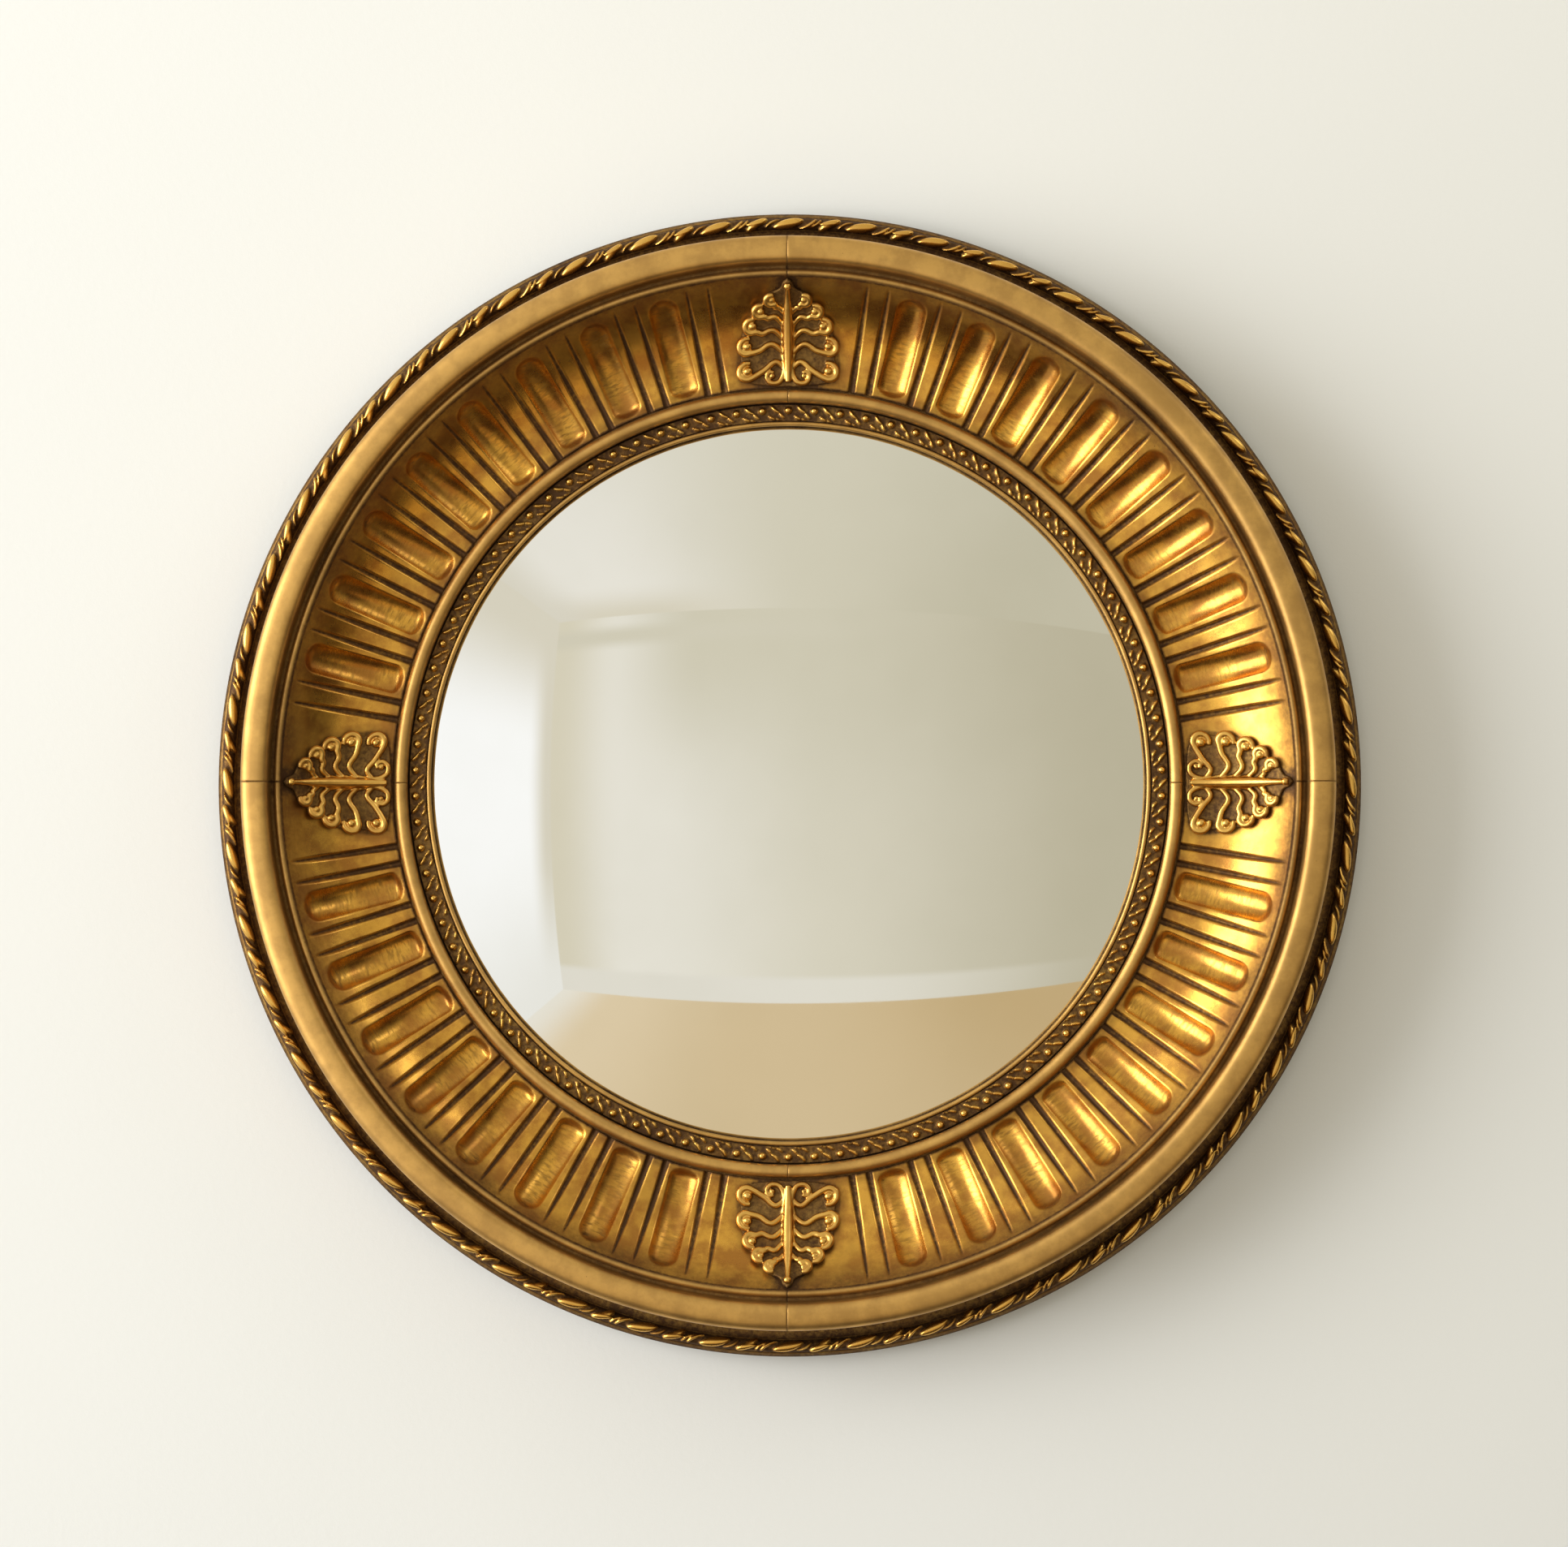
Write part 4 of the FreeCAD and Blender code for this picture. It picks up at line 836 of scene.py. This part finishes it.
aged_brass = metal("aged_brass", (0.72, 0.50, 0.20, 1.0), (0.22, 0.14, 0.06, 1.0), 0.28, 0.7)
dull_steel = metal("dull_steel", (0.46, 0.44, 0.40, 1.0), (0.12, 0.08, 0.05, 1.0), 0.3, 0.6)
dress("packing_ring", felt)
board_wood = wooden("board_wood", (0.40, 0.25, 0.12, 1.0), (0.22, 0.125, 0.055, 1.0), 14.0)
tongue_wood = wooden("tongue_wood", (0.50, 0.34, 0.18, 1.0), (0.33, 0.21, 0.10, 1.0), 60.0)
dress("backboard", board_wood)
dress("joint_tongues", tongue_wood)
for name in QUARTERS:
    dress("turn_button_" + name, aged_brass)
for name in ("hanging_plate", "hanging_ring"):
    dress(name, aged_brass)
for name in ("turn_button_screws", "hanging_plate_screws"):
    dress(name, dull_steel)

# ---------------------------------------------------------------------------------------------
# Studio. A pale wall behind the mirror, open where the frame covers it, and a pale room in front
# for the glass to show, whose sheets glow with painted light and shade, and a broad soft light
# that comes in from the left.
# ---------------------------------------------------------------------------------------------
ROOM_LEFT = -1.7
ROOM_RIGHT = 3.4
ROOM_BACK = -3.2
ROOM_FLOOR = -1.42
ROOM_CEILING = 1.24
WINDOW_FROM = -1.84
WALL_HOLE = 0.236
WALL_PLACE = 0.0005
WALL_HALF_WIDTH = 3.8
WALL_HALF_HEIGHT = 2.4
WALL_CORNERS = 128


def glow(name, ground, *washes):
    """A surface of the room that glows as painted light in its own colour, with soft washes of
    others for painted light and shade.
    """
    finish, tree, shader = new_finish(name)
    tree.nodes.remove(shader)
    parted = place(tree, "ShaderNodeSeparateXYZ", None, Vector=object_place(tree)).outputs
    colour = ground + (1.0,)
    for wash, *edges in washes:
        share = 1.0
        for axis, low, high in edges:
            share = times(tree, share, spread(tree, parted[axis], low, high))
        colour = blend(tree, share, colour, wash + (1.0,))
    lamp = place(tree, "ShaderNodeEmission", None, Color=colour, Strength=1.0)
    tree.links.new(lamp.outputs[0], tree.nodes["Material Output"].inputs["Surface"])
    return finish


def sheet_of(name, corners, finish, seen=False):
    """One flat face of the room."""
    mesh = bpy.data.meshes.new(name)
    mesh.from_pydata(corners, [], [list(range(len(corners)))])
    made = bpy.data.objects.new(name, mesh)
    bpy.context.scene.collection.objects.link(made)
    mesh.materials.append(finish)
    made.visible_camera = seen
    return made


def level(name, low, high, finish, **more):
    """An upright or level rectangle of the room from one corner to the opposite one."""
    (x0, y0, z0), (x1, y1, z1) = low, high
    if x0 == x1:
        corners = [(x0, y0, z0), (x0, y1, z0), (x0, y1, z1), (x0, y0, z1)]
    elif y0 == y1:
        corners = [(x0, y0, z0), (x1, y0, z0), (x1, y0, z1), (x0, y0, z1)]
    else:
        corners = [(x0, y0, z0), (x1, y0, z0), (x1, y1, z0), (x0, y1, z0)]
    return sheet_of(name, corners, finish, **more)


plaster, tree, shader = new_finish("pale_plaster")
spot = object_place(tree)
mottle = grain(tree, spot, 3.0, 3.0, 0.5)
paint = blend(tree, mottle, (0.853, 0.872, 0.868, 1.0), (0.893, 0.912, 0.908, 1.0))
tree.links.new(paint, shader.inputs["Base Color"])
shader.inputs["Roughness"].default_value = 0.9
shader.inputs["Specular IOR Level"].default_value = 0.1
emboss(tree, shader, grain(tree, spot, 350.0, 4.0, 0.7), 0.15, 0.0005)
# Seen from behind, the wall lets the camera look through it at the back of the mirror.
behind_wall = place(tree, "ShaderNodeNewGeometry").outputs["Backfacing"]
camera_ray = place(tree, "ShaderNodeLightPath").outputs["Is Camera Ray"]
clear = place(tree, "ShaderNodeBsdfTransparent").outputs[0]
choice = {"i0": times(tree, behind_wall, camera_ray), "i1": shader.outputs[0], "i2": clear}
chosen = place(tree, "ShaderNodeMixShader", None, **choice)
tree.links.new(chosen.outputs[0], tree.nodes["Material Output"].inputs["Surface"])


def oval(half_width, half_height):
    """Corners of an oval in the plane of the wall."""
    angles = np.linspace(0, 2 * math.pi, WALL_CORNERS, endpoint=False)
    return [(half_width * math.cos(a), WALL_PLACE, half_height * math.sin(a)) for a in angles]


wall_mesh = bpy.data.meshes.new("wall")
wall_faces = []
for index in range(WALL_CORNERS):
    following = (index + 1) % WALL_CORNERS
    wall_faces.append((index, following, WALL_CORNERS + following, WALL_CORNERS + index))
wall_corners = oval(WALL_HOLE, WALL_HOLE) + oval(WALL_HALF_WIDTH, WALL_HALF_HEIGHT)
wall_mesh.from_pydata(wall_corners, [], wall_faces)
wall = bpy.data.objects.new("wall", wall_mesh)
bpy.context.scene.collection.objects.link(wall)
wall_mesh.materials.append(plaster)
if wall_mesh.polygons[0].normal.y > 0:
    wall_mesh.flip_normals()

# Painted light and shade of the far wall: brightest left of the middle, darker towards the right
# and into the left corner, with a lighter skirting and a darker cornice band.
far_wall = glow(
    "far_wall_painted_light",
    (0.87, 0.84, 0.76),
    ((0.74, 0.69, 0.55), ("X", -1.15, -1.66)),
    ((0.75, 0.71, 0.59), ("X", -1.0, 0.3)),
    ((0.69, 0.65, 0.52), ("Z", -0.2, 1.0), ("X", -1.4, -0.6)),
    ((0.555, 0.51, 0.38), ("X", -0.1, 2.3)),
    ((0.82, 0.79, 0.71), ("Z", -1.2, -1.26), ("X", 2.6, -0.2)),
    ((0.70, 0.66, 0.535), ("Z", 0.98, 1.08), ("Z", 1.2, 1.1), ("X", 0.9, -0.9)),
)
# Painted shade: a dark right wall, lighter high up.
right_wall = glow("right_wall_painted_shade", (0.05, 0.04, 0.03), ((0.34, 0.31, 0.24), ("Z", -0.6, 1.1)))
# Painted light over the ceiling, darker towards the right, with a dark patch of painted shade on
# the right near the wall.
ceiling = glow(
    "ceiling_painted_light",
    (0.88, 0.85, 0.78),
    ((0.70, 0.66, 0.53), ("X", -1.1, 0.1)),
    ((0.60, 0.56, 0.43), ("X", 0.0, 1.3)),
    ((0.75, 0.70, 0.575), ("Y", -2.6, -3.2), ("X", 0.0, -0.9)),
    ((0.76, 0.72, 0.62), ("X", -1.3, -1.7)),
    ((0.20, 0.18, 0.13), ("X", 0.3, 1.6), ("Y", -1.5, -1.0)),
)
# Painted light on the floor, which the camera sees: lightest by the left wall and darker towards
# the right.
floor = glow(
    "floor_painted_light",
    (0.79, 0.65, 0.44),
    ((0.70, 0.55, 0.335), ("X", -1.3, -0.2)),
    ((0.60, 0.44, 0.23), ("X", -0.1, 1.6)),
    ((0.88, 0.84, 0.75), ("X", -1.25, -1.7)),
)
# Painted light on the left wall: a bright glowing curtain far back, and lighter low down.
left_wall = glow(
    "left_wall_painted_light",
    (0.75, 0.705, 0.59),
    ((1.05, 1.05, 1.05), ("Y", -3.14, -2.85), ("Z", 1.1, 0.3)),
    ((0.90, 0.89, 0.85), ("Z", -0.3, -1.4)),
)
near_right_floor = (ROOM_RIGHT, 0.0, ROOM_FLOOR)
near_right_ceiling = (ROOM_RIGHT, 0.0, ROOM_CEILING)
far_left_floor = (ROOM_LEFT, ROOM_BACK, ROOM_FLOOR)
far_left_ceiling = (ROOM_LEFT, ROOM_BACK, ROOM_CEILING)
far_right_floor = (ROOM_RIGHT, ROOM_BACK, ROOM_FLOOR)
far_right_ceiling = (ROOM_RIGHT, ROOM_BACK, ROOM_CEILING)
level("far_wall", far_left_floor, far_right_ceiling, far_wall)
level("right_wall", far_right_floor, near_right_ceiling, right_wall)
level("ceiling", far_left_ceiling, near_right_ceiling, ceiling)
level("floor", far_left_floor, near_right_floor, floor, seen=True)
level("left_wall", far_left_floor, (ROOM_LEFT, WINDOW_FROM, ROOM_CEILING), left_wall)
shade = glow("shade_colour", (0.07, 0.05, 0.035))
level("low_shade", (-0.9, -1.05, -1.02), (ROOM_RIGHT, 0.0, -1.02), shade)


def soft_light(name, spot, aim, watts, width, height, colour=(1.0, 1.0, 1.0)):
    """An area lamp at a spot, facing along a direction."""
    lamp = bpy.data.lights.new(name, "AREA")
    lamp.shape = "RECTANGLE"
    lamp.size = width
    lamp.size_y = height
    lamp.energy = watts
    lamp.color = colour
    stand = bpy.data.objects.new(name, lamp)
    facing = Vector(aim).to_track_quat("-Z", "Y").to_matrix().to_4x4()
    stand.matrix_world = Matrix.Translation(spot) @ facing
    bpy.context.scene.collection.objects.link(stand)


DAYLIGHT = (1.0, 0.99, 0.975)
soft_light("softbox", (-4.0, -2.55, 0.5), (1.0, 0.0, 0.0), 252.0, 4.0, 3.1, DAYLIGHT)
soft_light("bounce", (1.2, -0.62, 1.2), (-0.8, 0.62, -1.2), 5.0, 1.0, 1.0)
soft_light("back_light", (-0.9, 1.7, 1.1), (0.9, -1.7, -1.1), 9.0, 1.6, 1.6)

world = bpy.data.worlds.new("studio")
bpy.context.scene.world = world
world.use_nodes = True
world.node_tree.nodes["Background"].inputs["Color"].default_value = (0.80, 0.80, 0.78, 1.0)
world.node_tree.nodes["Background"].inputs["Strength"].default_value = 0.9

# The camera stands about 1.8 m away, a little right of the axis and below it.
CAMERA_PLACE = Vector((0.027, -1.8, -0.041))
CAMERA_AIM = Vector((-0.0021, 0.0, 0.0045))
camera_data = bpy.data.cameras.new("camera")
camera_data.sensor_width = 36.0
camera_data.lens = 97.8
camera = bpy.data.objects.new("camera", camera_data)
camera.location = CAMERA_PLACE
camera.rotation_euler = (CAMERA_AIM - CAMERA_PLACE).to_track_quat("-Z", "Y").to_euler()
bpy.context.scene.collection.objects.link(camera)
bpy.context.scene.camera = camera
bpy.context.scene.view_settings.view_transform = "Standard"
